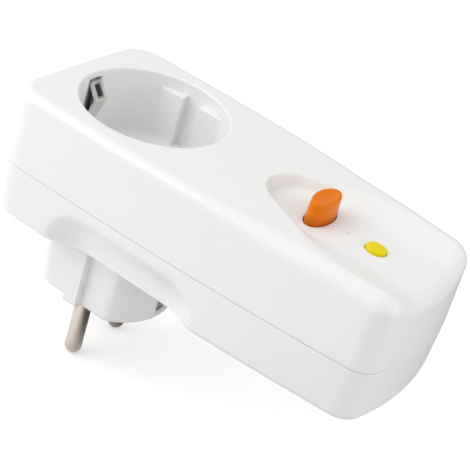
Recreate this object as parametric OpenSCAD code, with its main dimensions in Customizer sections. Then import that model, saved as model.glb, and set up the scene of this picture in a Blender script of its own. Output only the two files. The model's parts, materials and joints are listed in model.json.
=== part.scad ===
// Plug-in residual current adapter: a two-pin earthed plug under a round socket,
// with a reset button and a test button on the long end of the housing.
// Millimetres. Origin: centre of the plug's pin face. +Z out of the socket, +X to the buttons.

/* [Housing] */
// Distance from the well's wall to the far end
far_margin = 7.4; // [6.5:0.1:12]
// Distance from the reset button to the button end
near_margin = 35.9; // [34:0.1:50]
// Distance from the well's wall to the housing's side
side_margin = 6.9; // [6:0.1:12]
// Plan radius of the bowed long sides
side_r = 890; // [500:10:3000]
// Plan radius of the far end
far_r = 500; // [200:10:1000]
// Plan radius of the bowed button end
near_r = 77; // [60:1:300]
// Plan radius of the two far corners
corner_far = 8.4; // [6:0.1:12]
// Plan radius of the two corners at the buttons
corner_near = 7; // [6:0.1:10]
// Height of the socket face above the pin face
face_z = 57.2; // [54:0.1:64]
// Drop from the socket face to the button panel
panel_drop = 3.2; // [2:0.1:3.4]
// Place where the face's edge radius begins to grow
edge_x0 = 28; // [24:0.5:40]
// Length over which the edge radius grows
edge_len = 30; // [20:0.5:40]
// Height of the joint between the covers
joint_z = 36.6; // [35.5:0.1:38]
// Height of the housing's back
back_z = 21.4; // [18:0.1:22]
// Draft angle of the side walls
draft = 1.9; // [0.5:0.1:2.5]
// Edge radius of the face at the socket
edge_r = 2.5; // [1:0.1:4]
// Edge radius of the face at the buttons
edge_near_r = 4.2; // [2:0.1:5]
// Edge radius of the back
back_edge_r = 2; // [1:0.1:3]
// Side wall thickness
wall = 2.4; // [1.8:0.1:3]
// Thickness of the face
face_t = 3.4; // [3:0.1:4]
// Thickness of the back
back_t = 2.2; // [1.6:0.1:3]
// Visible gap of the joint line
joint_gap = 0.3; // [0.1:0.05:0.6]
// Height of the tongue inside the joint line
tongue_h = 2; // [1:0.1:3]
// Thickness of the tongue
tongue_t = 1; // [0.6:0.1:1.4]

/* [Socket] */
// Radius of the socket well
well_r = 19.8; // [19.5:0.05:20.2]
// Depth of the well
well_depth = 18.2; // [17.5:0.1:18.6]
// Chamfer at the well's rim
well_rim = 0.4; // [0.2:0.05:0.8]
// Wall of the well's cup
cup_t = 1.9; // [1.4:0.1:2.2]
// Floor of the well's cup
cup_floor_t = 2; // [1.4:0.1:2.4]
// Distance of the guide flats from the axis
guide_y = 17; // [16.6:0.1:18]
// Depth of the guide flats' tops below the rim
guide_drop = 3.7; // [3:0.1:6]
// Gap in the middle of the guide flats
guide_gap = 5.6; // [5:0.1:7]
// Spacing of the two pins
pin_pitch = 19; // [18.8:0.05:19.2]
// Radius of the pin ways through the well's floor and the contact sleeves
pin_hole_r = 2.55; // [2.5:0.05:2.6]

/* [Plug] */
// Radius of the plug body
plug_r = 18.4; // [18:0.05:18.6]
// Distance of the plug's side flats from the axis
plug_flat_y = 15; // [14.6:0.1:15.6]
// Distance of the guide rib's crown from the axis
plug_rib_y = 17.3; // [17:0.1:17.6]
// Width of the guide rib
plug_rib_w = 4.4; // [4:0.1:5]
// Edge radius round the pin face
plug_edge_r = 2.2; // [1:0.1:2.4]
// Wall of the plug body
plug_wall = 2; // [1.6:0.1:2.2]
// Width of the flange that keeps the plug body in the rear cover
plug_flange_w = 1.5; // [1:0.1:2]
// Thickness of that flange
plug_flange_t = 1.2; // [0.8:0.1:1.4]
// Thickness of the pin face
pin_face_t = 3; // [2.4:0.1:3.6]
// Pin radius
pin_r = 2.4; // [2.35:0.01:2.45]
// Pin length below the pin face
pin_len = 19; // [18.5:0.1:19.5]
// Shoulder radius of a pin inside the pin face
pin_shoulder_r = 2.7; // [2.55:0.05:2.9]
// Collar radius of a pin
pin_collar_r = 3.3; // [3.1:0.1:3.6]
// Collar height of a pin
pin_collar_h = 1.6; // [1:0.1:2]
// Stub radius of a pin
pin_stub_r = 1.7; // [1.4:0.1:2]

/* [Finger scoops] */
// Radius of the scoop hollow
scoop_r = 13; // [10:0.1:14]
// Depth of the scoop at the back
scoop_depth = 5.6; // [3:0.1:6]
// Start of the scoop's straight stretch
scoop_x0 = 5; // [0:0.5:8]
// Length of the scoop's straight stretch
scoop_len = 25; // [15:0.5:28]

/* [Buttons] */
// Radius of the rounded tip of the panel hollow
hollow_tip_r = 9; // [8.5:0.1:10]
// Distance from the hollow's tip to the reset button
hollow_lead = 15; // [13:0.1:16]
// Half width of the hollow at the button end
hollow_half_w = 16.5; // [14:0.1:17]
// Distance from the hollow's tip to its full width
hollow_len = 40; // [34:0.1:42]
// Width of the hollow's wall inside its outline, at the tip
tip_foot = 1.1; // [0.5:0.1:2]
// Width of the hollow's wall outside its outline, at the tip
tip_rim = 0.6; // [0.3:0.1:1]
// Width of the hollow's soft wall inside its outline, at the button end
end_foot = 9; // [4:0.1:9.5]
// Width of the hollow's soft wall outside its outline, at the button end
end_rim = 5; // [3:0.1:7]
// Place where the hollow's wall begins to soften
soft_x0 = 44; // [42:0.5:54]
// Length over which the hollow's wall softens
soft_len = 30; // [26:0.5:36]
// Distance from the socket axis to the reset button
reset_x = 53; // [52:0.1:55]
// Half length of the oval reset button at the panel, across the housing
reset_half_y = 6.3; // [5.8:0.1:6.5]
// Half width of the oval reset button at the panel
reset_half_x = 3; // [2.8:0.1:3.6]
// Taper of the reset button's long sides up to its top
reset_taper_x = 0.1; // [0:0.05:0.4]
// Taper of the reset button's round ends up to its top
reset_taper_y = 0.6; // [0.2:0.05:0.9]
// Height of the reset button above the panel
reset_h = 6; // [4:0.1:9]
// Depth of the finger dish in the reset button
reset_dish = 0.5; // [0.3:0.05:1]
// Travel of the reset button
reset_travel = 3; // [2:0.1:3.2]
// Distance from the reset button to the test button
test_pitch = 16.3; // [15.5:0.1:18]
// Half width of the test button
test_r = 2.4; // [2:0.1:3]
// Length of the test button beyond its width
test_extra = 0.6; // [0.4:0.1:2]
// Height of the test button above the panel
test_h = 1; // [0.5:0.05:1.4]
// Travel of the test button
test_travel = 0.7; // [0.4:0.05:0.8]
// Depth of the flange that keeps a button in
flange_t = 1.2; // [0.8:0.1:1.4]

/* [Conductors] */
// Thickness of the contact strips
strip_t = 0.8; // [0.6:0.05:1]
// Width of the contact strips
strip_w = 3.8; // [3:0.1:4.2]
// Distance of the line strips and contacts from the middle
pole_y = 10.4; // [10.2:0.1:10.6]
// Radius of a socket sleeve
sleeve_r = 3.3; // [3.2:0.05:3.5]
// Height of the edgewise load bars
bar_h = 3; // [2:0.1:3.2]
// Radius of a contact button
contact_r = 1.4; // [1:0.1:1.7]
// Width of the earth straps
earth_w = 4.2; // [3.4:0.1:4.6]
// Width of the slot in an earth clip
clip_slot_w = 2.3; // [1.6:0.1:2.6]

/* [Mechanism] */
// Outer radius of the sensing core
core_r = 7.2; // [6.4:0.1:7.3]
// Inner radius of the sensing core
core_bore_r = 4.8; // [4.4:0.1:5]
// Length of the sensing core
core_len = 6; // [4:0.1:6.5]
// Wire radius of the return spring
spring_wire_r = 0.35; // [0.2:0.05:0.45]
// Coil radius of the return spring
spring_r = 3.1; // [2.8:0.1:3.4]
// Radius of the carrier's guide post
post_r = 2; // [1.6:0.05:2.2]
// Radius of the trip coil
coil_r = 5.3; // [4.4:0.1:5.4]
// Length of the trip coil's bobbin
coil_len = 11.6; // [9:0.1:12]
// Radius of the trip plunger
plunger_r = 1.9; // [1.4:0.05:2]
// Depth of the guide post in the carrier
guide_depth = 2.4; // [1.6:0.1:3]
// Wall round the guide post's bore
guide_wall = 1.8; // [1.2:0.1:2]
// Roof over the guide post's bore
carrier_roof = 1.3; // [1:0.1:1.6]
// Distance of the contacts from the reset axis
contact_reach = 4.9; // [4.6:0.1:5.2]
// Half length of a fixed contact's plate
contact_plate = 1.7; // [1.5:0.05:1.9]
// Margin of the mechanism base round the contacts
base_margin = 0.7; // [0.4:0.1:1]
// Pull of the trip plunger
plunger_pull = 0.7; // [0.4:0.05:0.8]
// Distance from the latch lever to the coil
latch_lead = 6.2; // [5.8:0.1:7]
// Height of the latch pin above the frame's foot
latch_rise = 2.8; // [2.4:0.1:3.2]
// Radius of the latch pin
latch_pin_r = 0.8; // [0.6:0.05:0.9]

/* [Board] */
// Thickness of the circuit board
board_t = 1.6; // [1:0.1:1.6]
// Half width of the circuit board
board_half_w = 15.5; // [13:0.1:16]

/* [Fit] */
// Gap between pieces that move past each other
slip = 0.3; // [0.2:0.05:0.4]
// Gap between pieces that are seated
seat = 0.2; // [0.1:0.05:0.3]
// Radial clearance of a pin in its bore
fit = 0.05; // [0.02:0.01:0.09]

/* [Hidden] */
$fn = 48;
far = -1;
near = 1;
live = -1;
neutral = 1;
over = 1;

far_len = well_r + far_margin;
near_len = reset_x + near_margin;
half_w = well_r + side_margin;
hollow_x = reset_x - hollow_lead;
test_x = reset_x + test_pitch;

// Plan outline: five tangent arcs from the far end's middle, along -Y, to the button end's middle
side_c = [-3, side_r - half_w];
far_c = [far_r - far_len, 0];
near_c = [near_len - near_r, 0];
function bearing(v) = atan2(v[1], v[0]);
function circles_meet(a, ra, b, rb, side) =
    let (gap = norm(b - a), u = (b - a) / gap, along = (ra ^ 2 - rb ^ 2 + gap ^ 2) / (2 * gap))
    a + u * along + side * sqrt(ra ^ 2 - along ^ 2) * [-u[1], u[0]];
corner_far_c = circles_meet(side_c, side_r - corner_far, far_c, far_r - corner_far, -1);
corner_near_c = circles_meet(side_c, side_r - corner_near, near_c, near_r - corner_near, 1);
far_end_a = 360 + bearing(corner_far_c - far_c);
side_a0 = 360 + bearing(corner_far_c - side_c);
side_a1 = 360 + bearing(corner_near_c - side_c);
near_end_a = 360 + bearing(corner_near_c - near_c);
// One sample of the outline: centre x, centre y, radius, bearing
function arc_samples(c, r, a0, a1, n, first) =
    [for (i = [first:n]) [c[0], c[1], r, a0 + (a1 - a0) * i / n]];
half_outline = concat(
    arc_samples(far_c, far_r, 180, far_end_a, 3, 0),
    arc_samples(corner_far_c, corner_far, far_end_a, side_a0, 7, 1),
    arc_samples(side_c, side_r, side_a0, side_a1, 24, 1),
    arc_samples(corner_near_c, corner_near, side_a1, near_end_a, 7, 1),
    arc_samples(near_c, near_r, near_end_a, 360, 8, 1));
half_n = len(half_outline);
ring_n = 2 * half_n - 2;
function sample_xy(s, inset) = [s[0], s[1]] + (s[2] - inset) * [cos(s[3]), sin(s[3])];
function flip_y(p) = [p[0], -p[1], p[2]];

// Face: level, with an edge radius that grows towards the buttons
function ease(u) = let (v = min(max(u, 0), 1)) v * v * (3 - 2 * v);
function face_edge_at(x) = edge_r + (edge_near_r - edge_r) * ease((x - edge_x0) / edge_len);
panel_z = face_z - panel_drop;

// Wall of the button hollow: steep at its tip, soft at the button end
function wall_share(x) = ease((x - soft_x0) / soft_len);
function foot_at(x) = tip_foot + (end_foot - tip_foot) * wall_share(x);
function rim_at(x) = tip_rim + (end_rim - tip_rim) * wall_share(x);
// Height of the face at its edge: level, but for the dip where the hollow leaves at the button end
run_out = 0.02;
function edge_top(x, y) =
    let (half = hollow_side_c[1] + sqrt(hollow_side_r ^ 2 - (min(x, hollow_end) - hollow_end) ^ 2),
        across = abs(y) - half + foot_at(x))
    x < soft_x0 ? face_z
        : panel_z - run_out + (panel_drop + run_out) * ease(across / (foot_at(x) + rim_at(x)));

// Heights
front_z0 = joint_z + joint_gap / 2;
rear_z0 = joint_z - joint_gap / 2;
well_floor_z = face_z - well_depth;
cup_r = well_r + cup_t;
cup_z = well_floor_z - cup_floor_t;
floor_z = back_z + back_t;
pin_y = pin_pitch / 2;
hollow_c = [hollow_x + hollow_tip_r, 0];
hollow_end = hollow_x + hollow_len;
pan_z = panel_z - 2.6;

// One ring of a moulded shell: the outline moved in by its draft and its rounded edge
function shell_point(s, inset, z0, z1, r, edge_a) =
    let (up = sign(z1 - z0), zc = z1 - up * r, drawn = inset + abs(zc - z0) * tan(draft),
        xy = sample_xy(s, drawn + r * (1 - cos(edge_a))))
    [xy[0], xy[1], zc + up * r * sin(edge_a)];
function base_point(s, inset, z0) = let (xy = sample_xy(s, inset)) [xy[0], xy[1], z0];
function whole_ring(half) = concat(half, [for (i = [half_n - 2:-1:1]) flip_y(half[i])]);
// Solid between the joint plane and a rounded end; ends holds the end's heights, radii its edge radii
module shell_solid(inset, z0, steps, ends, radii) {
    rings = concat(
        [whole_ring([for (s = half_outline) base_point(s, inset, z0)])],
        [for (k = [0:steps])
            whole_ring([for (i = [0:half_n - 1])
                shell_point(half_outline[i], inset, z0, ends[i], radii[i], 90 * k / steps)])]);
    points = [for (ring = rings) each ring];
    last = (len(rings) - 1) * ring_n;
    up = ends[0] > z0;
    sides = [for (k = [0:len(rings) - 2], i = [0:ring_n - 1])
        let (a = k * ring_n + i, b = k * ring_n + (i + 1) % ring_n)
        each [[a, a + ring_n, b + ring_n], [a, b + ring_n, b]]];
    bottom = [for (f = cap_faces()) [f[2], f[1], f[0]]];
    top = [for (f = cap_faces()) [f[0] + last, f[1] + last, f[2] + last]];
    faces = concat(sides, bottom, top);
    polyhedron(points, up ? faces : [for (f = faces) [f[2], f[1], f[0]]]);
}
// Triangles across the width that close one ring
function cap_faces() = concat(
    [for (i = [0:half_n - 2]) if (i > 0) [i, ring_n - i, (ring_n - i - 1) % ring_n]],
    [for (i = [0:half_n - 2])
        if (i < half_n - 2) [i, (ring_n - i - 1) % ring_n, i + 1]]);
outline_x = [for (s = half_outline) sample_xy(s, 0)[0]];
module front_solid(inset, lower, shrink) {
    ends = [for (s = half_outline)
        let (p = sample_xy(s, edge_near_r)) edge_top(p[0], p[1]) - lower];
    radii = [for (x = outline_x) max(face_edge_at(x) - shrink, 0.5)];
    shell_solid(inset, front_z0, shrink > 0 ? 2 : 5, ends, radii);
}
module rear_solid(inset, raise, shrink) {
    ends = [for (x = outline_x) back_z + raise];
    radii = [for (x = outline_x) max(back_edge_r - shrink, 0.5)];
    shell_solid(inset, rear_z0, shrink > 0 ? 2 : 4, ends, radii);
}
// Straight prism of the outline, for the joint's tongue
module outline_prism(inset, z0, z1) {
    translate([0, 0, z0])
        linear_extrude(z1 - z0)
            polygon([for (p = whole_ring([for (s = half_outline) base_point(s, inset, 0)]))
                [p[0], p[1]]]);
}

// Bent sheet strip: a centre line in XZ, mitred at its bends
function unit(v) = v / norm(v);
function side_normal(a, b) = let (u = unit(b - a)) [-u[1], u[0]];
function mitre(pts, i) =
    let (n = len(pts),
        n0 = side_normal(pts[max(i - 1, 0)], pts[max(i, 1)]),
        n1 = side_normal(pts[min(i, n - 2)], pts[min(i + 1, n - 1)]),
        m = unit(n0 + n1))
    m / (m * n0);
function strip_outline(pts, t) = concat(
    [for (i = [0:len(pts) - 1]) pts[i] + mitre(pts, i) * t / 2],
    [for (i = [len(pts) - 1:-1:0]) pts[i] - mitre(pts, i) * t / 2]);
module strip_xz(pts, t, w, y) {
    translate([0, y + w / 2, 0])
        rotate([90, 0, 0])
            linear_extrude(w)
                polygon(strip_outline(pts, t));
}
module strip_xy(pts, t, h, z) {
    translate([0, 0, z])
        linear_extrude(h)
            polygon(strip_outline(pts, t));
}
// Round wire wound into a spring along +Z, as one unbroken tube
module spring(r, wire, len, turns) {
    per_turn = 12;
    sides = 6;
    n = turns * per_turn;
    function ring(i) =
        let (a = 360 * i / per_turn, z = wire + (len - 2 * wire) * i / n)
        [for (k = [0:sides - 1])
            let (b = 360 * k / sides, q = r + wire * cos(b))
            [q * cos(a), q * sin(a), z + wire * sin(b)]];
    points = [for (i = [0:n]) each ring(i)];
    tube = [for (i = [0:n - 1], k = [0:sides - 1])
        let (a = i * sides + k, b = i * sides + (k + 1) % sides)
        each [[a, b, b + sides], [a, b + sides, a + sides]]];
    first = [for (k = [1:sides - 2]) [0, k + 1, k]];
    end = [for (k = [1:sides - 2]) [n * sides, n * sides + k, n * sides + k + 1]];
    polyhedron(points, [for (f = concat(tube, first, end)) [f[2], f[1], f[0]]]);
}
module bar(x0, x1, y0, y1, z0, z1) {
    translate([x0, y0, z0])
        cube([x1 - x0, y1 - y0, z1 - z0]);
}
module post(x, y, r, z0, z1) {
    translate([x, y, z0])
        cylinder(h = z1 - z0, r = r);
}
module rod_x(x0, x1, z, r) {
    translate([x0, 0, z])
        rotate([0, 90, 0])
            cylinder(h = x1 - x0, r = r);
}
module rod_y(x, z, r, half) {
    translate([x, half, z])
        rotate([90, 0, 0])
            cylinder(h = 2 * half, r = r);
}

// Cover screws and their bosses
screw_far_y = half_w - 7.9;
screw_near_y = 13;
screw_far_x = -far_len + 7.7;
screw_near_x = near_len - 12.9;
screw_xy = [[screw_far_x, screw_far_y], [screw_far_x, -screw_far_y],
    [screw_near_x, screw_near_y], [screw_near_x, -screw_near_y]];
screw_r = 1.45;
screw_head_r = 2.8;
screw_head_h = 1.9;
boss_r = 3.2;
rear_boss_r = 4.2;
head_z = back_z + 2.6;
screw_tip_z = joint_z + 9;

// Outline of the button hollow: a round tip, two long arcs and a straight run past the button end
hollow_side_r = ((hollow_end - hollow_c[0]) ^ 2 + hollow_half_w ^ 2 - hollow_tip_r ^ 2)
    / (2 * (hollow_half_w - hollow_tip_r));
hollow_side_c = [hollow_end, hollow_half_w - hollow_side_r];
hollow_a = bearing(hollow_c - hollow_side_c);
hollow_reach = near_len + 4;
// Outline samples: x, y and the outward direction
function hollow_arc(c, r, a0, a1, n, first) =
    [for (i = [first:n])
        let (a = a0 + (a1 - a0) * i / n) [c[0] + r * cos(a), c[1] + r * sin(a), cos(a), sin(a)]];
hollow_half = concat(
    [for (i = [0:3]) [hollow_reach - (hollow_reach - hollow_end) * i / 4, hollow_half_w, 0, 1]],
    hollow_arc(hollow_side_c, hollow_side_r, 90, hollow_a, 14, 0),
    hollow_arc(hollow_c, hollow_tip_r, hollow_a, 180, 8, 1));
// Ring of the hollow's wall: the outline moved out by a share of the wall's width
function hollow_ring(share, extra, z) =
    let (half = [for (p = hollow_half)
        let (e = extra - foot_at(p[0]) + (foot_at(p[0]) + rim_at(p[0])) * share)
        [p[0] + p[2] * e, p[1] + p[3] * e, z]])
    concat(half, [for (i = [len(half) - 2:-1:0]) flip_y(half[i])]);
// Space of the hollow up through the face, or the same grown and lowered for the pan under it
module hollow_space(extra, lower, steps) {
    rings = concat(
        [for (k = [0:steps])
            hollow_ring(k / steps, extra, panel_z - lower + panel_drop * ease(k / steps))],
        [hollow_ring(1, extra, face_z + over)]);
    n = len(rings[0]);
    tip = len(hollow_half) - 1;
    last = (len(rings) - 1) * n;
    sides = [for (k = [0:len(rings) - 2], i = [0:n - 1])
        let (a = k * n + i, b = k * n + (i + 1) % n)
        each [[a, a + n, b + n], [a, b + n, b]]];
    cap = concat([for (i = [0:tip - 2]) [i, i + 1, n - 2 - i]],
        [for (i = [0:tip - 1]) [i, n - 2 - i, n - 1 - i]]);
    top = [for (f = cap) [f[2] + last, f[1] + last, f[0] + last]];
    polyhedron([for (ring = rings) each ring], concat(sides, cap, top));
}
pan_t = panel_z - pan_z;
pan_wall = 1.6;

// Earth strap window through the cup's wall
window_half_w = earth_w / 2 + slip + 0.2;
window_z0 = well_floor_z + 2.2;
window_z1 = face_z - 1.8;
strap_out_x = cup_r + seat + slip + strip_t / 2;
strap_in_x = plug_r - plug_wall + 0.5;
strap_room = strip_t / 2 + 0.5;

// Oval of the test button, grown by extra
module test_oval(extra, z0, z1) {
    for (side = [-1, 1])
        post(test_x + side * test_extra / 2, 0, test_r + extra, z0, z1);
    bar(test_x - test_extra / 2, test_x + test_extra / 2, -test_r - extra, test_r + extra, z0, z1);
}
// Oval of the reset button, grown by extra
module reset_oval(extra, z0, z1) {
    translate([reset_x, 0, z0])
        linear_extrude(z1 - z0)
            scale([reset_half_x + extra, reset_half_y + extra])
                circle(1, $fn = 64);
}
reset_sleeve_gap = 1.2;
reset_flange_z = pan_z - slip - flange_t;
sleeve_wall = 1.3;
under_panel_z = panel_z - face_t;
test_boss_w = 2.4;
test_flange_z = under_panel_z - slip - flange_t;
dot_x = reset_x + test_pitch / 2;
dot_r = 0.4;
dot_depth = 0.8;

// Circuit board and its standoffs
board_x0 = reset_x + 10;
board_x1 = near_len - 4.9;
board_top_z = under_panel_z - 3;
board_z = board_top_z - board_t;
standoff_xy = [[board_x0 + 3, 12.5], [board_x0 + 3, -12.5],
    [board_x1 - 2.5, 8.5], [board_x1 - 2.5, -8.5]];
standoff_r = 2.2;
board_screw_r = 0.9;

module well_cut() {
    rotate_extrude($fn = 96)
        polygon([[0, well_floor_z], [well_r, well_floor_z], [well_r, face_z - well_rim],
            [well_r + well_rim, face_z], [well_r + well_rim, face_z + over], [0, face_z + over]]);
}
// Flats on the well's wall that guide a plug's side flats
module guide_flats() {
    intersection() {
        post(0, 0, well_r + cup_t / 2, well_floor_z - cup_floor_t / 2, face_z - guide_drop);
        for (y = [-1, 1], x = [-1, 1])
            translate([x * guide_gap / 2, y * guide_y, well_floor_z - cup_floor_t / 2])
                mirror([x < 0 ? 1 : 0, 0, 0])
                    mirror([0, y < 0 ? 1 : 0, 0])
                        cube([well_r, well_r, well_depth]);
    }
}
module front_cover() color("#F1F1F0") {
    difference() {
        union() {
            difference() {
                front_solid(0, 0, 0);
                translate([0, 0, -0.01])
                    front_solid(wall, face_t, wall);
            }
            post(0, 0, cup_r, cup_z, face_z - face_t / 2, $fn = 96);
            intersection() {
                hollow_space(pan_wall, pan_t, 3);
                front_solid(wall / 2, 0, 0);
            }
            test_oval(test_boss_w, under_panel_z, panel_z - 0.2);
            for (p = screw_xy)
                post(p[0], p[1], boss_r, joint_z, (p[0] > 0 ? panel_z : face_z) - face_t / 2);
            reset_oval(reset_sleeve_gap + sleeve_wall, pan_z - 3.4, pan_z + over);
            for (p = standoff_xy)
                post(p[0], p[1], standoff_r, board_top_z, panel_z - face_t / 2);
        }
        well_cut();
        hollow_space(0, 0, 5);
        for (y = [-1, 1])
            post(0, y * pin_y, pin_hole_r, cup_z - over, well_floor_z + over);
        for (side = [far, near])
            bar(min(side * (well_r - 3), side * (strap_out_x + strip_t)),
                max(side * (well_r - 3), side * (strap_out_x + strip_t)),
                -window_half_w, window_half_w, window_z0, window_z1);
        for (p = screw_xy)
            post(p[0], p[1], screw_r + fit, joint_z - over, screw_tip_z + over);
        reset_oval(slip / 2, pan_z - over, face_z);
        reset_oval(reset_sleeve_gap, pan_z - 5, pan_z);
        test_oval(slip / 2, under_panel_z - over, face_z);
        post(dot_x, 0, dot_r, panel_z - dot_depth, face_z);
        for (p = standoff_xy)
            post(p[0], p[1], board_screw_r + fit, board_top_z - over, board_top_z + 2.6);
    }
    guide_flats();
}

// Rear cover with the plug body
module scoop(side, extra) {
    y = side * (half_w - scoop_depth + scoop_r);
    for (x = [scoop_x0, scoop_x0 + scoop_len])
        translate([x, y, back_z + 0.6])
            sphere(r = scoop_r + extra, $fn = 64);
    translate([scoop_x0, y, back_z + 0.6])
        rotate([0, 90, 0])
            cylinder(h = scoop_len, r = scoop_r + extra, $fn = 64);
}
// Plug body: a round with two flats and a guide rib on each, grown by extra
module plug_round(r, z0, z1, edge) {
    rotate_extrude($fn = 96) {
        translate([0, z0])
            square([r - edge, z1 - z0]);
        translate([0, z0 + edge])
            square([r, z1 - z0 - edge]);
        translate([r - edge, z0 + edge])
            circle(edge);
    }
}
module plug_solid(extra, z0, z1) {
    flat_y = plug_flat_y + extra;
    rib_y = plug_rib_y + extra;
    rib_x = plug_rib_w / 2 + extra;
    intersection() {
        plug_round(plug_r + extra, z0, z1, plug_edge_r);
        union() {
            bar(-plug_r - over, plug_r + over, -flat_y, flat_y, z0 - over, z1 + over);
            bar(-rib_x, rib_x, -rib_y, rib_y, z0 - over, z1 + over);
        }
    }
}
module plug_hollow() {
    intersection() {
        post(0, 0, plug_r - plug_wall, pin_face_t, floor_z + over, $fn = 96);
        bar(-plug_r, plug_r, -plug_flat_y + plug_wall, plug_flat_y - plug_wall, 0, floor_z + 2 * over);
    }
}
core_x = 28;
core_z = floor_z + core_r + seat;
rib_t = 1.2;
module core_saddles() {
    difference() {
        for (x = [core_x + 0.6, core_x + core_len - 0.6 - rib_t])
            bar(x, x + rib_t, -core_r - 0.6, core_r + 0.6, floor_z - 0.2, core_z - core_r / 2);
        rod_x(core_x - over, core_x + core_len + over, core_z, core_r + seat);
    }
}
line_z = floor_z + 3.8;
flange_r = plug_r + plug_flange_w;
module rear_cover() color("#EFEFEE") {
    difference() {
        union() {
            difference() {
                rear_solid(0, 0, 0);
                difference() {
                    translate([0, 0, 0.01])
                        rear_solid(wall, back_t, wall);
                    for (side = [-1, 1])
                        scoop(side, wall);
                }
            }
            difference() {
                outline_prism(wall + seat, rear_z0 - 2, joint_z + tongue_h);
                outline_prism(wall + seat + tongue_t, rear_z0 - 3, joint_z + tongue_h + over);
            }
            for (p = screw_xy)
                post(p[0], p[1], rear_boss_r, floor_z - 0.2, joint_z);
            core_saddles();
            for (x = [21, 40], y = [-1, 1])
                bar(x, x + rib_t, y * pole_y - strip_w / 2, y * pole_y + strip_w / 2, floor_z - 0.2,
                    line_z - strip_t / 2 - seat);
        }
        for (side = [-1, 1])
            scoop(side, 0);
        plug_solid(fit, 0, floor_z + over);
        post(0, 0, flange_r + fit, floor_z - plug_flange_t - fit, floor_z + over, $fn = 96);
        for (p = screw_xy) {
            post(p[0], p[1], screw_head_r + slip, back_z - over, head_z + screw_head_h);
            post(p[0], p[1], screw_r + slip, back_z, joint_z + over);
        }
    }
}
// Slots in the plug body for one earth contact: open to the side, and up through the flange
module earth_slot(side) {
    mirror([side < 0 ? 1 : 0, 0, 0]) {
        bar(strap_in_x - strap_room, plug_r + over, -window_half_w, window_half_w, plug_edge_r,
            back_z - 3);
        bar(strap_in_x - strap_room, strap_in_x + strap_room, -window_half_w, window_half_w,
            plug_edge_r, floor_z + over);
    }
}
module plug_body() color("#EEEEED")
    difference() {
        union() {
            plug_solid(0, 0, floor_z);
            post(0, 0, flange_r, floor_z - plug_flange_t, floor_z, $fn = 96);
        }
        plug_hollow();
        for (y = [-1, 1])
            post(0, y * pin_y, pin_shoulder_r + fit, -over, pin_face_t + over);
        for (side = [far, near])
            earth_slot(side);
    }
module cover_screws() color("#B9BABC")
    for (p = screw_xy)
        difference() {
            union() {
                post(p[0], p[1], screw_head_r, head_z, head_z + screw_head_h - fit);
                post(p[0], p[1], screw_r, head_z + screw_head_h / 2, screw_tip_z);
            }
            bar(p[0] - 2, p[0] + 2, p[1] - 0.4, p[1] + 0.4, head_z - over, head_z + 0.8);
        }

// Plug pins, held by a clamp plate inside the plug body
stub_z = pin_face_t + pin_collar_h + 5.4;
clamp_z = pin_face_t + pin_collar_h + seat;
clamp_t = 2.4;
tail_z = clamp_z + clamp_t + seat + strip_t / 2;
module pin(side) {
    translate([0, side * pin_y, 0])
        rotate_extrude() {
            translate([0, -pin_len + pin_r])
                intersection() {
                    circle(pin_r);
                    translate([0, -pin_r])
                        square([pin_r, pin_r]);
                }
            translate([0, -pin_len + pin_r])
                square([pin_r, pin_len - pin_r]);
            square([pin_shoulder_r, pin_face_t]);
            translate([0, pin_face_t])
                square([pin_collar_r, pin_collar_h]);
            translate([0, pin_face_t])
                square([pin_stub_r, stub_z - pin_face_t]);
        }
}
module live_pin() color("#D9CEC4") pin(live);
module neutral_pin() color("#D9CEC4") pin(neutral);
module pin_clamp() color("#3A3B3D")
    difference() {
        intersection() {
            post(0, 0, plug_r - plug_wall - 0.5 - seat, clamp_z, clamp_z + clamp_t);
            bar(-strap_in_x + 1.2, strap_in_x - 1.2, -plug_flat_y + plug_wall + seat,
                plug_flat_y - plug_wall - seat, 0, floor_z);
        }
        for (y = [-1, 1])
            post(0, y * pin_y, pin_stub_r + seat, 0, floor_z);
    }

// Earth: two sprung straps that join the plug's side contacts to the socket's clips
strap_line = [[strap_in_x, plug_edge_r + 0.9], [strap_in_x, floor_z + 4.4],
    [strap_out_x, floor_z + 6.9], [strap_out_x, window_z1 - 1.4], [well_r - 0.2, window_z1 - 1.2],
    [well_r - 3.1, window_z1 - 5], [well_r - 0.7, window_z0 + 1.6]];
module earth_strap(side) {
    mirror([side < 0 ? 1 : 0, 0, 0])
        difference() {
            strip_xz(strap_line, strip_t, earth_w, 0);
            bar(0, well_r - 0.3, -clip_slot_w / 2, clip_slot_w / 2, window_z1 - 4.6, window_z1);
        }
}
module earth_strap_far() color("#C9C6BF") earth_strap(far);
module earth_strap_near() color("#C9C6BF") earth_strap(near);
link_z = cup_z - 2.4;
module earth_link() color("#C9C6BF") {
    reach = strap_out_x - strip_t / 2 - fit;
    bar(-reach, reach, -earth_w / 2, earth_w / 2, link_z, link_z + strip_t);
}

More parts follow.
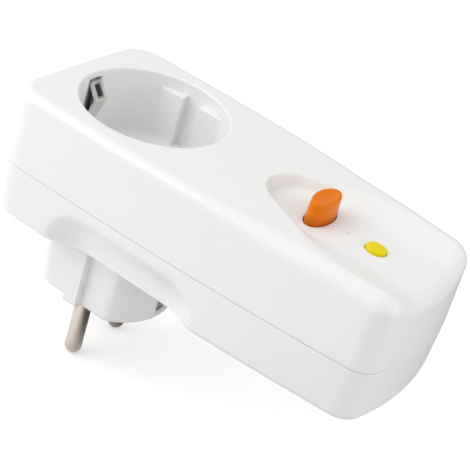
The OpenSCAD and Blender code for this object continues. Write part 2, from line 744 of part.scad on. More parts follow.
// Socket contacts on their base
base_z = floor_z + seat;
base_t = 2.4;
base_half_x = flange_r + 0.5;
base_half_y = screw_far_y - rear_boss_r - 2 * seat;
sleeve_z0 = base_z + base_t + seat;
sleeve_z1 = cup_z - 2 * seat;
tail_x = sqrt((plug_r - plug_wall) ^ 2 - (pole_y + strip_w / 2) ^ 2) - strip_t / 2 - 2 * slip;
module socket_sleeve(side) {
    difference() {
        post(0, side * pin_y, sleeve_r, sleeve_z0, sleeve_z1);
        post(0, side * pin_y, pin_hole_r, sleeve_z0 - over, sleeve_z1 + over);
        bar(-sleeve_r - over, 0, side * pin_y - 0.4, side * pin_y + 0.4, sleeve_z0 + 3,
            sleeve_z1 + over);
    }
}
module live_socket_sleeve() color("#C8A45A") socket_sleeve(live);
module neutral_socket_sleeve() color("#C8A45A") socket_sleeve(neutral);
module contact_base() color("#4A4B4E")
    difference() {
        bar(-base_half_x, base_half_x, -base_half_y, base_half_y, base_z, base_z + base_t);
        for (y = [-1, 1])
            bar(tail_x - strip_t, tail_x + strip_t, y * pole_y - strip_w / 2 - slip,
                y * pole_y + strip_w / 2 + slip, base_z - over, base_z + base_t + over);
        for (x = [-1, 1])
            bar(x * strap_in_x - strip_t, x * strap_in_x + strip_t, -window_half_w, window_half_w,
                base_z - over, base_z + base_t + over);
        post(0, 0, 3, base_z - over, base_z + base_t + over);
    }

// Contact heights: moving bars over fixed contacts
base_plate_z = floor_z + seat;
base_plate_t = 2.2;
bar_z = line_z + 2.4;
fixed_top_z = bar_z + bar_h + 1.5;
contact_t = 0.5;
moving_z = fixed_top_z + reset_travel + slip + contact_t;
line_contact_x = reset_x - contact_reach;
load_contact_x = reset_x + contact_reach;
line_rise_x = line_contact_x - contact_plate;
module line_strip(side) {
    y = side * pole_y;
    plate_z = fixed_top_z - contact_t - strip_t / 2;
    difference() {
        strip_xz([[-3, tail_z], [tail_x, tail_z], [tail_x, line_z], [line_rise_x, line_z],
            [line_rise_x, plate_z], [line_contact_x + contact_plate, plate_z]], strip_t, strip_w, y);
        post(0, side * pin_y, pin_stub_r + fit, tail_z - over, tail_z + over);
    }
    post(line_contact_x, y, contact_r, plate_z, fixed_top_z);
}
module live_line_strip() color("#B87345") line_strip(live);
module neutral_line_strip() color("#B87345") line_strip(neutral);
bore_bar_y = 2.5;
duck_y = 6.2;
module load_bar(side) {
    start = [sleeve_r + fit, pin_y];
    route = [start, [15.5, pin_y], [core_x - 4, bore_bar_y], [core_x + core_len + 3, bore_bar_y],
        [line_rise_x - 0.6, duck_y], [load_contact_x - 4, duck_y], [load_contact_x - 1.2, pole_y],
        [load_contact_x + 2, pole_y]];
    mirror([0, side < 0 ? 1 : 0, 0]) {
        strip_xy(route, strip_t, bar_h, bar_z);
        bar(load_contact_x - contact_plate, load_contact_x + contact_plate, pole_y - strip_w / 2,
            pole_y + strip_w / 2, bar_z + bar_h - 0.1, fixed_top_z - contact_t);
        post(load_contact_x, pole_y, contact_r, bar_z + bar_h, fixed_top_z);
    }
}
module live_load_bar() color("#B87345") load_bar(live);
module neutral_load_bar() color("#B87345") load_bar(neutral);

// Sensing core round both load bars, with its winding
winding_t = 0.7;
winding_x0 = core_x + 2.2;
winding_len = core_len - 4.4;
module core_ring(x0, len, r0, r1) {
    translate([x0, 0, core_z])
        rotate([0, 90, 0])
            difference() {
                cylinder(h = len, r = r1);
                translate([0, 0, -over])
                    cylinder(h = len + 2 * over, r = r0);
            }
}
module sensing_core() color("#55585C")
    core_ring(core_x, core_len, core_bore_r, core_r);
module sensing_winding() color("#A65A2E")
    intersection() {
        difference() {
            core_ring(core_x - winding_t, core_len + 2 * winding_t, core_bore_r - winding_t,
                core_r + winding_t);
            core_ring(core_x - fit, core_len + 2 * fit, core_bore_r - fit, core_r + fit);
        }
        bar(core_x - over, core_x + core_len + over, -core_r * 0.7, core_r * 0.7, core_z + 1.5,
            core_z + 2 * core_r);
    }

// Contact mechanism under the reset button
mech_x0 = line_rise_x - contact_plate - base_margin;
mech_x1 = load_contact_x + 2 * contact_plate;
mech_half_y = pole_y + strip_w / 2 + 2 * base_margin;
base_top_z = base_plate_z + base_plate_t;
carrier_z = moving_z + strip_t;
carrier_t = 3.9;
carrier_half_x = 5.6;
post_top_z = carrier_z + guide_depth;
bore_top_z = post_top_z + reset_travel + slip;
carrier_top_z = bore_top_z + carrier_roof;
module mechanism_base() color("#34363A") {
    bar(mech_x0, mech_x1, -mech_half_y, mech_half_y, base_plate_z, base_top_z);
    post(reset_x, 0, post_r, base_plate_z, post_top_z);
    for (y = [-1, 1]) {
        bar(line_contact_x - 0.9, line_contact_x + 1.7, y * pole_y - strip_w / 2 + 0.1,
            y * pole_y + strip_w / 2 - 0.1, base_plate_z, fixed_top_z - contact_t - strip_t - seat);
        bar(load_contact_x - 1, load_contact_x + 1.8, y * pole_y - strip_w / 2,
            y * pole_y + strip_w / 2, base_plate_z, bar_z - seat);
    }
}
nose_half_w = 3;
nose_x = reset_x + carrier_half_x + 1.4;
module contact_carrier() color("#2E3033")
    difference() {
        union() {
            bar(reset_x - carrier_half_x, reset_x + carrier_half_x, -pole_y - strip_w / 2,
                pole_y + strip_w / 2, carrier_z, carrier_z + carrier_t);
            bar(reset_x, nose_x, -nose_half_w, nose_half_w, carrier_z, carrier_z + carrier_t);
            post(reset_x, 0, post_r + guide_wall, carrier_z, carrier_top_z);
        }
        post(reset_x, 0, post_r + fit, carrier_z - over, bore_top_z);
    }
module moving_contact(side) {
    y = side * pole_y;
    bar(line_contact_x - contact_plate, load_contact_x + contact_plate, y - strip_w / 2 + 0.1,
        y + strip_w / 2 - 0.1, moving_z, moving_z + strip_t);
    for (x = [line_contact_x, load_contact_x])
        post(x, y, contact_r, moving_z - contact_t, moving_z + strip_t / 2);
}
module live_moving_contact() color("#B87345") moving_contact(live);
module neutral_moving_contact() color("#B87345") moving_contact(neutral);
module return_spring() color("#9A9DA1")
    translate([reset_x, 0, base_top_z + seat])
        spring(spring_r, spring_wire_r, carrier_z - base_top_z - 2 * seat, 6);

// Buttons
reset_top_z = panel_z + reset_h;
reset_top_half_x = reset_half_x - reset_taper_x;
reset_top_half_y = reset_half_y - reset_taper_y;
reset_lip = 0.6;
lip_share = 1 - reset_lip / 2 / reset_top_half_x;
dish_half_y = reset_top_half_y * lip_share - 0.5;
dish_sphere_r = (dish_half_y ^ 2 + reset_dish ^ 2) / (2 * reset_dish);
module reset_button() color("#E87D06")
    difference() {
        union() {
            reset_oval(0, reset_flange_z, panel_z + 0.3);
            translate([reset_x, 0, panel_z + 0.3])
                linear_extrude(reset_h - 0.3 - reset_lip,
                    scale = [reset_top_half_x / reset_half_x, reset_top_half_y / reset_half_y],
                    slices = 1)
                    scale([reset_half_x, reset_half_y])
                        circle(1, $fn = 64);
            translate([reset_x, 0, reset_top_z - reset_lip])
                linear_extrude(reset_lip, scale = lip_share, slices = 1)
                    scale([reset_top_half_x, reset_top_half_y])
                        circle(1, $fn = 64);
            reset_oval(0.8, reset_flange_z, reset_flange_z + flange_t);
            post(reset_x, 0, post_r + 0.8, carrier_top_z + slip, reset_flange_z + flange_t);
        }
        translate([reset_x, 0, reset_top_z + dish_sphere_r - reset_dish])
            scale([reset_top_half_x / reset_top_half_y, 1, 1])
                sphere(r = dish_sphere_r, $fn = 96);
    }
test_top_z = panel_z + test_h;
leaf_z = board_top_z + 0.9;
module test_button() color("#E6D90A") {
    test_oval(0, test_flange_z, test_top_z - 0.3);
    test_oval(-0.3, test_flange_z, test_top_z);
    test_oval(0.8, test_flange_z, test_flange_z + flange_t);
    post(test_x, 0, 1.2, leaf_z + 0.2 + slip, test_flange_z + flange_t);
}
module test_leaf() color("#C8A45A")
    strip_xz([[test_x - 2.4, leaf_z], [test_x + 4, leaf_z], [test_x + 4.9, board_top_z + 0.2],
        [test_x + 7.5, board_top_z + 0.2]], 0.3, 3, 0);

// Trip coil, plunger and latch
coil_x = reset_x + 17.2;
coil_z = floor_z + coil_r + 2.05;
frame_t = 1;
frame_half_w = 6;
frame_z = floor_z + seat;
bobbin_flange_r = coil_r + 0.4;
bobbin_bore_r = plunger_r + fit;
bobbin_t = 0.6;
latch_x = coil_x - latch_lead;
latch_z = frame_z + latch_rise;
latch_t = 1.2;
ear_y = 2.7;
ear_t = 1;
module coil_frame() color("#8E9296")
    difference() {
        union() {
            bar(coil_x - frame_t - seat, coil_x - seat, -frame_half_w, frame_half_w, frame_z,
                coil_z + coil_r);
            bar(coil_x + coil_len + seat, coil_x + coil_len + seat + frame_t, -frame_half_w,
                frame_half_w, frame_z, coil_z + coil_r);
            bar(coil_x - frame_t - seat, coil_x + coil_len + seat + frame_t, -frame_half_w,
                frame_half_w, frame_z, frame_z + frame_t);
            for (y = [-1, 1])
                bar(latch_x - 1.8, coil_x - seat, min(y * ear_y, y * (ear_y + ear_t)),
                    max(y * ear_y, y * (ear_y + ear_t)), frame_z, latch_z + 2);
        }
        rod_x(coil_x - 3, coil_x, coil_z, plunger_r + slip);
        rod_y(latch_x, latch_z, latch_pin_r + fit, ear_y + ear_t + over);
    }
module coil_bobbin() color("#2B2D30")
    difference() {
        union() {
            rod_x(coil_x, coil_x + coil_len, coil_z, bobbin_bore_r + bobbin_t);
            rod_x(coil_x, coil_x + 0.9, coil_z, bobbin_flange_r);
            rod_x(coil_x + coil_len - 0.9, coil_x + coil_len, coil_z, bobbin_flange_r);
        }
        rod_x(coil_x - over, coil_x + coil_len + over, coil_z, bobbin_bore_r);
    }
module coil_winding() color("#A65A2E")
    difference() {
        rod_x(coil_x + 0.9 + fit, coil_x + coil_len - 0.9 - fit, coil_z, coil_r);
        rod_x(coil_x, coil_x + coil_len, coil_z, bobbin_bore_r + bobbin_t + fit);
    }
neck_r = 1;
head_r = 2.2;
swing_gap = 0.8;
collar_x = latch_x + latch_t / 2 + swing_gap;
head_x = latch_x - latch_t / 2 - swing_gap;
module trip_plunger() color("#A9ACB0") {
    rod_x(head_x - 1, head_x, coil_z, head_r);
    rod_x(head_x - 0.5, collar_x + 0.4, coil_z, neck_r);
    rod_x(collar_x, collar_x + 0.8, coil_z, plunger_r + 1);
    rod_x(collar_x, coil_x + coil_len * 0.55, coil_z, plunger_r);
}
module plunger_spring() color("#9A9DA1")
    translate([collar_x + 0.8 + fit, 0, coil_z])
        rotate([0, 90, 0])
            spring(plunger_r + 0.55, 0.2, coil_x - frame_t - seat - collar_x - 0.8 - 2 * fit, 4);
hook_z = carrier_z + carrier_t - reset_travel + slip + 0.2;
module latch_lever() color("#B5B8BB")
    difference() {
        union() {
            bar(latch_x - latch_t / 2, latch_x + latch_t / 2, -2, 2, latch_z, hook_z + 1.5);
            bar(nose_x + slip, latch_x, -2, 2, hook_z, hook_z + 1.5);
            rod_y(latch_x, latch_z, latch_pin_r + 0.9, ear_y - slip);
        }
        rod_y(latch_x, latch_z, latch_pin_r + fit, 2 * ear_y);
        bar(latch_x - over, latch_x + over, -neck_r - 0.4, neck_r + 0.4, coil_z - neck_r - 0.8,
            coil_z + neck_r + 0.8);
    }
module latch_pin() color("#C3C6C9")
    rod_y(latch_x, latch_z, latch_pin_r, ear_y + ear_t);

// Circuit board with its parts
module circuit_board() color("#2F6B3C")
    difference() {
        bar(board_x0, board_x1, -board_half_w, board_half_w, board_z, board_top_z - fit);
        for (p = screw_xy)
            post(p[0], p[1], boss_r + slip, board_z - over, board_top_z + over);
        for (p = standoff_xy)
            post(p[0], p[1], board_screw_r + seat, board_z - over, board_top_z + over);
    }
module board_screws() color("#B9BABC")
    for (p = standoff_xy) {
        post(p[0], p[1], board_screw_r, board_z - 0.5, board_top_z + 2);
        post(p[0], p[1], board_screw_r + 0.7, board_z - 1.1, board_z - fit);
    }
part_z = board_z - fit;
module test_resistor() color("#CDB58C")
    translate([board_x0 + 6, -5, part_z - 1.2])
        rotate([0, 90, 0])
            cylinder(h = 6.4, r = 1.2);
module suppressor() color("#2A56A5")
    bar(board_x0 + 1, board_x0 + 4.2, 3.2, 10.2, part_z - 5.6, part_z);
module control_chip() color("#1E1F21")
    bar(board_x0 + 6, board_x0 + 11, 3, 7.2, part_z - 1.7, part_z);
module smoothing_capacitor() color("#3B3C40")
    post(board_x0 + 17.2, 0, 2.6, part_z - 5, part_z);

front_cover();
rear_cover();
plug_body();
cover_screws();
live_pin();
neutral_pin();
pin_clamp();
earth_strap_far();
earth_strap_near();
earth_link();
live_socket_sleeve();
neutral_socket_sleeve();
contact_base();
live_line_strip();
neutral_line_strip();
live_load_bar();
neutral_load_bar();
sensing_core();
sensing_winding();
mechanism_base();
contact_carrier();
live_moving_contact();
neutral_moving_contact();
return_spring();
reset_button();
test_button();
test_leaf();
coil_frame();
coil_bobbin();
coil_winding();
trip_plunger();
plunger_spring();
latch_lever();
latch_pin();
circuit_board();
board_screws();
test_resistor();
suppressor();
control_chip();
smoothing_capacitor();
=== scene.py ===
# %% [markdown]
# # A plug-in residual current adapter
# The adapter is a white moulded housing with an earthed socket in its face, an earthed
# plug on its back and two buttons on its long end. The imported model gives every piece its
# size and place. This lesson dresses it: the moulded covers, the plug body and the buttons
# become smooth surfaces worked out with numpy, and every piece gets its own material. Sizes are
# in millimetres until a mesh is made.

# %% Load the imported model
import json
import math
import bmesh
import bpy
import numpy as np
from mathutils import Matrix, Vector
from mathutils.geometry import delaunay_2d_cdt


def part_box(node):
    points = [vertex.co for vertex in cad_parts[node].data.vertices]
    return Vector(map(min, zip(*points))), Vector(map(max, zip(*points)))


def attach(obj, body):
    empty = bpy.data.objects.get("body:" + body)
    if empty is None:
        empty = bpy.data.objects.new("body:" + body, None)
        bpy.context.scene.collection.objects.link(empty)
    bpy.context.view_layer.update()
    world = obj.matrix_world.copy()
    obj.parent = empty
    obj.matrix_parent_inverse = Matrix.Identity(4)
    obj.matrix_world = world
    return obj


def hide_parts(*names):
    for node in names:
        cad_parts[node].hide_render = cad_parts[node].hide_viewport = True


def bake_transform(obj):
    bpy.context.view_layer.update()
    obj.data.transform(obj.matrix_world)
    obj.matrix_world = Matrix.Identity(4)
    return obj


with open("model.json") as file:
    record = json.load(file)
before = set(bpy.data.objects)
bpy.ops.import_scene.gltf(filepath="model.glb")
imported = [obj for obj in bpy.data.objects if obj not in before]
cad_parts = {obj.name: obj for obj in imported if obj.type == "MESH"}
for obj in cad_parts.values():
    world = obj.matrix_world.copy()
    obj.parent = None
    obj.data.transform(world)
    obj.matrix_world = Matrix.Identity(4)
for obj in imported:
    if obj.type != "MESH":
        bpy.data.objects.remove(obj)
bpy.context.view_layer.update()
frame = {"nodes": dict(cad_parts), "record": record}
nodes = frame["nodes"]
scene = bpy.context.scene
MM = 0.001

# %% [markdown]
# ## Camera
# The photograph was taken from above the button end with a long lens, and it is turned a
# little, so the camera has a roll. The camera is set by azimuth, elevation and roll, which
# are easier to read than a matrix.

# %% Camera
CAMERA_AT_MM = (161.5, -266.56, 214.91)
AZIMUTH, ELEVATION, ROLL = (math.radians(a) for a in (25.794, 31.088, 17.817))
LENS_MM, SENSOR_MM, NEAR_CLIP_M = 104.07, 36, 0.01


def camera_axes(azimuth, elevation, roll):
    """Right, up and back of a camera: level axes from azimuth and elevation, then a turn by roll."""
    look = Vector((-math.sin(azimuth) * math.cos(elevation),
                   math.cos(azimuth) * math.cos(elevation), -math.sin(elevation)))
    level = Vector((math.cos(azimuth), math.sin(azimuth), 0))
    right = math.cos(roll) * level + math.sin(roll) * level.cross(look)
    return right, right.cross(look), -look


def into_scene(name, data):
    """New object with this name and data, linked into the scene."""
    made = bpy.data.objects.new(name, data)
    scene.collection.objects.link(made)
    return made


right, up, back = camera_axes(AZIMUTH, ELEVATION, ROLL)
camera_data = bpy.data.cameras.new("photo_camera")
camera_data.lens = LENS_MM
camera_data.sensor_width = SENSOR_MM
camera_data.clip_start = NEAR_CLIP_M
camera = into_scene("photo_camera", camera_data)
turned = Matrix((right, up, back)).transposed().to_4x4()
camera.matrix_world = Matrix.Translation(Vector(CAMERA_AT_MM) * MM) @ turned
scene.camera = camera
print("camera at", [round(c, 3) for c in camera.location])

# %% [markdown]
# ## Materials
# One function turns a written sRGB colour into Blender's linear one, and one adds a node with
# its settings and links. Each material below is named for what the real one is and how its
# surface was made. Object coordinates are in metres, so a pattern of a given size in
# millimetres has the scale 1 / size in metres. Painted images could do the same, but a noise with
# a real size looks right from any distance.

# %% Node helpers
PATCH_DETAIL, GRAIN_DETAIL = 1.0, 2.0


def linear(hex_code):
    """sRGB hex to linear RGBA: (c / 12.92) below 0.04045, else ((c + 0.055) / 1.055) to the power 2.4."""
    c = [int(hex_code[i:i + 2], 16) / 255 for i in (1, 3, 5)]
    return [v / 12.92 if v <= 0.04045 else ((v + 0.055) / 1.055) ** 2.4 for v in c] + [1.0]


def add(tree, kind, inputs=None, links=None, **settings):
    """Adds a shader node: settings are its properties, inputs its socket values, links its incoming wires."""
    node = tree.nodes.new("ShaderNode" + kind)
    for key, value in settings.items():
        setattr(node, key, value)
    for socket, value in (inputs or {}).items():
        node.inputs[socket].default_value = value
    for socket, (source, output) in (links or {}).items():
        tree.links.new(source.outputs[output], node.inputs[socket])
    return node


def empty_tree(owner):
    """Node tree of a material or world, with its first nodes taken out."""
    owner.use_nodes = True
    owner.node_tree.nodes.clear()
    return owner.node_tree


def per_mm(size):
    """Texture scale that gives features of this size in millimetres."""
    return 1 / (size * MM)


def surface_material(name, tones, roughness, patch_mm, grain_mm, grain_depth_mm, stretch=(1, 1, 1),
                     deep=None, **shader):
    """Two close tones and a bump follow one fine noise; a second, slow noise changes the roughness.

    deep names a darker tone of painted shade, which the colour falls to downwards between two heights in
    millimetres.
    """
    material = bpy.data.materials.new(name)
    tree = empty_tree(material)
    place = add(tree, "TexCoord")
    drawn_out = add(tree, "Mapping", {"Scale": stretch}, {"Vector": (place, "Object")})
    patches = add(tree, "TexNoise", {"Scale": per_mm(patch_mm), "Detail": PATCH_DETAIL},
                  {"Vector": (drawn_out, "Vector")})
    grain = add(tree, "TexNoise", {"Scale": per_mm(grain_mm), "Detail": GRAIN_DETAIL},
                {"Vector": (drawn_out, "Vector")})
    # A colour mix has its two colours at sockets 6 and 7 and its result at output 2.
    mix = add(tree, "Mix", {6: linear(tones[0]), 7: linear(tones[1])}, {0: (grain, "Fac")}, data_type="RGBA")
    # Painted shade: below a band of heights the colour falls to a darker tone.
    if deep:
        tone, low, high = deep
        height = add(tree, "SeparateXYZ", None, {0: (place, "Object")})
        share = add(tree, "MapRange", {"From Min": low * MM, "From Max": high * MM},
                    {"Value": (height, "Z")}, interpolation_type="SMOOTHSTEP")
        mix = add(tree, "Mix", {6: linear(tone)}, {0: (share, "Result"), 7: (mix, 2)}, data_type="RGBA")
    rough = add(tree, "MapRange", {"To Min": roughness[0], "To Max": roughness[1]},
                {"Value": (patches, "Fac")})
    bump = add(tree, "Bump", {"Strength": 1.0, "Distance": grain_depth_mm * MM}, {"Height": (grain, "Fac")})
    body = add(tree, "BsdfPrincipled", shader,
               {"Base Color": (mix, 2), "Roughness": (rough, "Result"), "Normal": (bump, "Normal")})
    add(tree, "OutputMaterial", None, {"Surface": (body, "BSDF")})
    return material


print("mid grey #808080 in linear light:", round(linear("#808080")[0], 3))

# %% [markdown]
# ## Moulded plastics
# The covers are ABS from a polished tool, the buttons polypropylene in solid colour from a
# slightly dull one. The orange one has painted shade towards its foot: its colour falls to a
# darker tone lower down, where shade falls. A tool's real grain is too fine to
# show, so here it is drawn 0.3 to 0.4 mm wide.

# %% Moulded plastics
# Painted shade: a darker orange towards the reset button's foot, between these two heights.
BUTTON_SHINE, RESET_PAINTED_SHADE = {"IOR": 1.49, "Specular IOR Level": 0.2}, ("#BC5600", 53.5, 57.5)
FINISHES = {}


def make_finishes(rows):
    """One material for each row: its slot, its shader settings, then what surface_material asks for."""
    for slot, shader, *look in rows:
        FINISHES[slot] = surface_material(*look, **shader)
    print("finishes:", [row[0] for row in rows])


make_finishes([
    # Clean cool white with a soft shine; slow flow marks change its gloss a little.
    ("shell_white", {"IOR": 1.53}, "ABS moulded gloss white", ("#F4F4F3", "#F0F0EF"), (0.26, 0.34), 16, 0.4,
     0.0008),
    # Strong warm orange with painted shade towards its foot, then bright yellow, both satin with a fine skin.
    ("button_orange", {**BUTTON_SHINE, "deep": RESET_PAINTED_SHADE}, "polypropylene moulded orange",
     ("#EC7E00", "#E47500"), (0.34, 0.46), 3, 0.3, 0.002),
    ("button_yellow", BUTTON_SHINE, "polypropylene moulded yellow", ("#ECDA00", "#E4D000"), (0.34, 0.44), 3,
     0.3, 0.002),
])

# %% [markdown]
# ## Metals and inner materials
# Pins and clips are turned or rolled metal, whose marks run one way, so their noise is stretched.
# The pieces inside are the usual ones of a switching device: brass, copper, dark insulating
# mouldings, a lacquered board and its small components.

# %% Metals and inner materials
METAL, RESIN = {"Metallic": 1.0}, {"IOR": 1.55}
make_finishes([
    # Warm silver with faint turning marks round the pin.
    ("plated_brass", METAL, "nickel plated brass turned", ("#DED4CB", "#CCC1B7"), (0.16, 0.24), 2.5, 0.25,
     0.0012, (1, 1, 6)),
    # Pale grey strip with a soft shine and rolling marks along it.
    ("spring_steel", METAL, "spring steel rolled bright", ("#E8E8E6", "#DCDCDA"), (0.42, 0.55), 2.0, 0.3,
     0.0015, (6, 6, 1)),
    # Yellow metal, then red metal, both a little uneven.
    ("contact_brass", METAL, "brass strip rolled", ("#D2AE66", "#C39E55"), (0.22, 0.32), 2.0, 0.3, 0.0015),
    ("contact_copper", METAL, "copper strip rolled", ("#C98763", "#B87350"), (0.22, 0.32), 2.0, 0.3, 0.0015),
    # Near black and dull with a fine grain, then mid grey under a thin coat.
    ("dark_insulator", RESIN, "phenolic moulded dark", ("#303236", "#26282B"), (0.45, 0.6), 4, 0.3, 0.003),
    ("core_grey", RESIN, "ferrite core coated", ("#5A5D61", "#4A4D51"), (0.4, 0.55), 2, 0.25, 0.004),
    # Brown lacquered wire, seen as close fine ridges.
    ("winding_copper", {"IOR": 1.6}, "enamelled copper wire", ("#A9602F", "#8E4C22"), (0.25, 0.4), 0.8, 0.35,
     0.02, (1, 6, 6)),
    # Dark green lacquer over a faint weave.
    ("board_green", RESIN, "glass laminate lacquered", ("#2F6A3C", "#275A33"), (0.3, 0.42), 1.2, 0.5, 0.004),
    # Sand-coloured lacquer, smooth blue with slight runs from dipping, and dull black.
    ("component_tan", {"IOR": 1.5}, "lacquered resistor body", ("#CBB48B", "#BDA47A"), (0.35, 0.5), 1, 0.2,
     0.002),
    ("component_blue", RESIN, "dipped epoxy blue", ("#2A56A5", "#234A92"), (0.25, 0.4), 1.5, 0.3, 0.004),
    ("component_black", RESIN, "moulded epoxy black", ("#222326", "#1A1B1D"), (0.45, 0.6), 1.5, 0.2, 0.003),
])
for part in frame["record"]["subparts"]:
    slots = nodes[part["node"]].data.materials
    slots.clear()
    slots.append(FINISHES[part["material_slot"]])

# %% [markdown]
# ## Housing sizes
# The covers share one plan outline: five arcs, each tangent to the next, for one half, and
# their mirror image. Walls lean in by a draft angle, as a moulding has to leave its tool. The
# face's rounded edge grows towards the buttons. A bevelled box would be quicker to make, but
# arcs give the plan its true radii.

# %% Sizes in millimetres
# The well's radius, then heights above the pin face.
WELL_R, FACE_Z, JOINT_Z, BACK_Z = 19.8, 57.2, 36.6, 21.4
HOLLOW_DEPTH = 3.2
PANEL_Z = FACE_Z - HOLLOW_DEPTH
# Places along the housing of the buttons and of the dimple between them.
RESET_X, TEST_X, DOT_X = 53.0, 69.3, 61.15
# The plan's reach from the well's axis, where it is widest, and the radii of its arcs.
FAR_MARGIN, NEAR_MARGIN, SIDE_MARGIN, WIDEST_X = 7.4, 35.9, 6.9, -3.0
FAR_LEN, NEAR_LEN, HALF_W = WELL_R + FAR_MARGIN, RESET_X + NEAR_MARGIN, WELL_R + SIDE_MARGIN
SIDE_R, FAR_R, NEAR_R, CORNER_FAR, CORNER_NEAR = 890.0, 500.0, 77.0, 8.4, 7.0
OUTLINE_STEPS = (10, 22, 150, 22, 20)
# Rounded edges, the draft, the joint between the covers and their wall.
EDGE_R, EDGE_NEAR_R, EDGE_X0, EDGE_LEN, BACK_EDGE_R = 2.5, 4.2, 28.0, 30.0, 2.0
DRAFT_DEG = 1.9
DRAFT = math.tan(math.radians(DRAFT_DEG))
JOINT_GAP, JOINT_EDGE_R, JOINT_LIP, WALL = 0.14, 0.2, 1.2, 2.0
print("housing:", round(FAR_LEN + NEAR_LEN, 2), "by", round(2 * HALF_W, 2), "mm")

# %% [markdown]
# ## Plan outline
# Each corner arc has to touch two others from inside. Its centre lies where two larger circles
# meet: those of its neighbours, made smaller by the corner's own radius. Moving every arc in by
# the same amount keeps the five tangent, so one table of arcs gives every ring of the housing.

# %% Plan outline
def bearing(v):
    """Direction of a plan vector, in radians."""
    return math.atan2(v[1], v[0])


def circles_meet(a, ra, b, rb, side):
    """One of the two points where the circle round a meets the circle round b."""
    gap = np.linalg.norm(b - a)
    u = (b - a) / gap
    along = (ra * ra - rb * rb + gap * gap) / (2 * gap)
    return a + u * along + side * math.sqrt(ra * ra - along * along) * np.array([-u[1], u[0]])


def half_outline():
    """Rows of centre x, centre y, radius and bearing along the five arcs, far end to button end."""
    side_c = np.array([WIDEST_X, SIDE_R - HALF_W])
    far_c = np.array([FAR_R - FAR_LEN, 0.0])
    near_c = np.array([NEAR_LEN - NEAR_R, 0.0])
    c_far = circles_meet(side_c, SIDE_R - CORNER_FAR, far_c, FAR_R - CORNER_FAR, -1)
    c_near = circles_meet(side_c, SIDE_R - CORNER_NEAR, near_c, NEAR_R - CORNER_NEAR, 1)
    turns = [math.pi] + [2 * math.pi + bearing(v) for v in
                         (c_far - far_c, c_far - side_c, c_near - side_c, c_near - near_c)] + [2 * math.pi]
    centres = (far_c, c_far, side_c, c_near, near_c)
    radii = (FAR_R, CORNER_FAR, SIDE_R, CORNER_NEAR, NEAR_R)
    rows = []
    for c, r, a0, a1, n in zip(centres, radii, turns[:-1], turns[1:], OUTLINE_STEPS):
        rows.append(np.column_stack([np.tile([*c, r], (n, 1)), np.linspace(a0, a1, n + 1)[:-1]]))
    return np.vstack(rows + [[*near_c, NEAR_R, 2 * math.pi]])


OUTLINE = half_outline()


def ring_points(inset, z):
    """Closed ring of the outline moved in by inset (one value a sample) at heights z."""
    a = OUTLINE[:, 3]
    r = OUTLINE[:, 2] - inset
    half = np.column_stack([OUTLINE[:, 0] + r * np.cos(a), OUTLINE[:, 1] + r * np.sin(a),
                            np.broadcast_to(z, a.shape)])
    return np.vstack([half, half[-2:0:-1] * (1, -1, 1)])


OUTLINE_X = ring_points(0.0, 0.0)[:len(OUTLINE), 0]
print("outline:", len(OUTLINE), "samples, from", OUTLINE_X.min().round(2), "to", OUTLINE_X.max().round(2))

# %% [markdown]
# ## Rings and fans
# A patch is an array of points and an array of faces. A stack of rings makes a skin of quads, and
# a fan of triangles closes its end. Whole arrays make this quick, however many points there are.

# %% Rings and fans
def quarter(n):
    """n bearings that divide a quarter turn evenly, as a rounded edge needs."""
    return np.linspace(0, math.pi / 2, n)


def rounded(r, n):
    """n pairs over a rounded edge of radius r: r(1 - sin a) and r(1 - cos a) over a quarter turn."""
    return [(r * (1 - math.sin(a)), r * (1 - math.cos(a))) for a in quarter(n)]


def plan_way(a):
    """Plan vectors of length 1 at bearings a: cosine and sine."""
    return np.column_stack([np.cos(a), np.sin(a)])


def circle_loop(centre, r, n):
    """n plan points round a centre, at even bearings."""
    return np.asarray(centre) + r * plan_way(np.arange(n) * 2 * math.pi / n)


def at_height(loop, z):
    """Plan loop lifted to one height."""
    return np.column_stack([loop, np.full(len(loop), z)])


def ring_patch(rings):
    """Quads between closed rings stacked one above the other, each quad from a ring to the next."""
    rings = np.asarray(rings)
    k, n = rings.shape[:2]
    here = (np.arange(k - 1)[:, None] * n + np.arange(n)).ravel()
    after = (np.arange(k - 1)[:, None] * n + (np.arange(n) + 1) % n).ravel()
    return rings.reshape(-1, 3), np.column_stack([here, after, after + n, here + n])


def fan_patch(ring):
    """Closes a ring with triangles to its middle, wound the same way as the ring."""
    n = len(ring)
    here = np.arange(n)
    return np.vstack([ring, ring.mean(0)]), np.column_stack([here, (here + 1) % n, np.full(n, n)])


print("five rings of a rounded edge lie at", np.degrees(quarter(5)).tolist(), "degrees")

# %% [markdown]
# ## Plan nets
# A plan region with holes, such as the face round the well and the buttons, is filled with a
# constrained Delaunay net whose heights then come from a formula. A boolean cut would leave long
# thin faces that shade badly; a net through an even grid does not.

# %% Plan nets
COVER_BOX, FACE_STEP, ROW_SHARE, TINY, NEVER_ZERO = ((-30, -30), (92, 30)), 1.25, 0.866, 1e-6, 1e-12


def inside(points, loop):
    """True where a plan point lies in a loop, by counting the edges that a ray to +X crosses."""
    x, y = points[:, :1], points[:, 1:2]
    ax, ay = loop[:, 0], loop[:, 1]
    bx, by = np.roll(ax, -1), np.roll(ay, -1)
    crosses = (ay > y) != (by > y)
    where = (bx - ax) * (y - ay) / np.where(by == ay, NEVER_ZERO, by - ay) + ax
    return (crosses & (x < where)).sum(1) % 2 == 1


def clear_of(points, loop, gap):
    """True where a plan point is further than gap from every point of a loop."""
    return ((points[:, None] - loop) ** 2).sum(2).min(1) > gap * gap


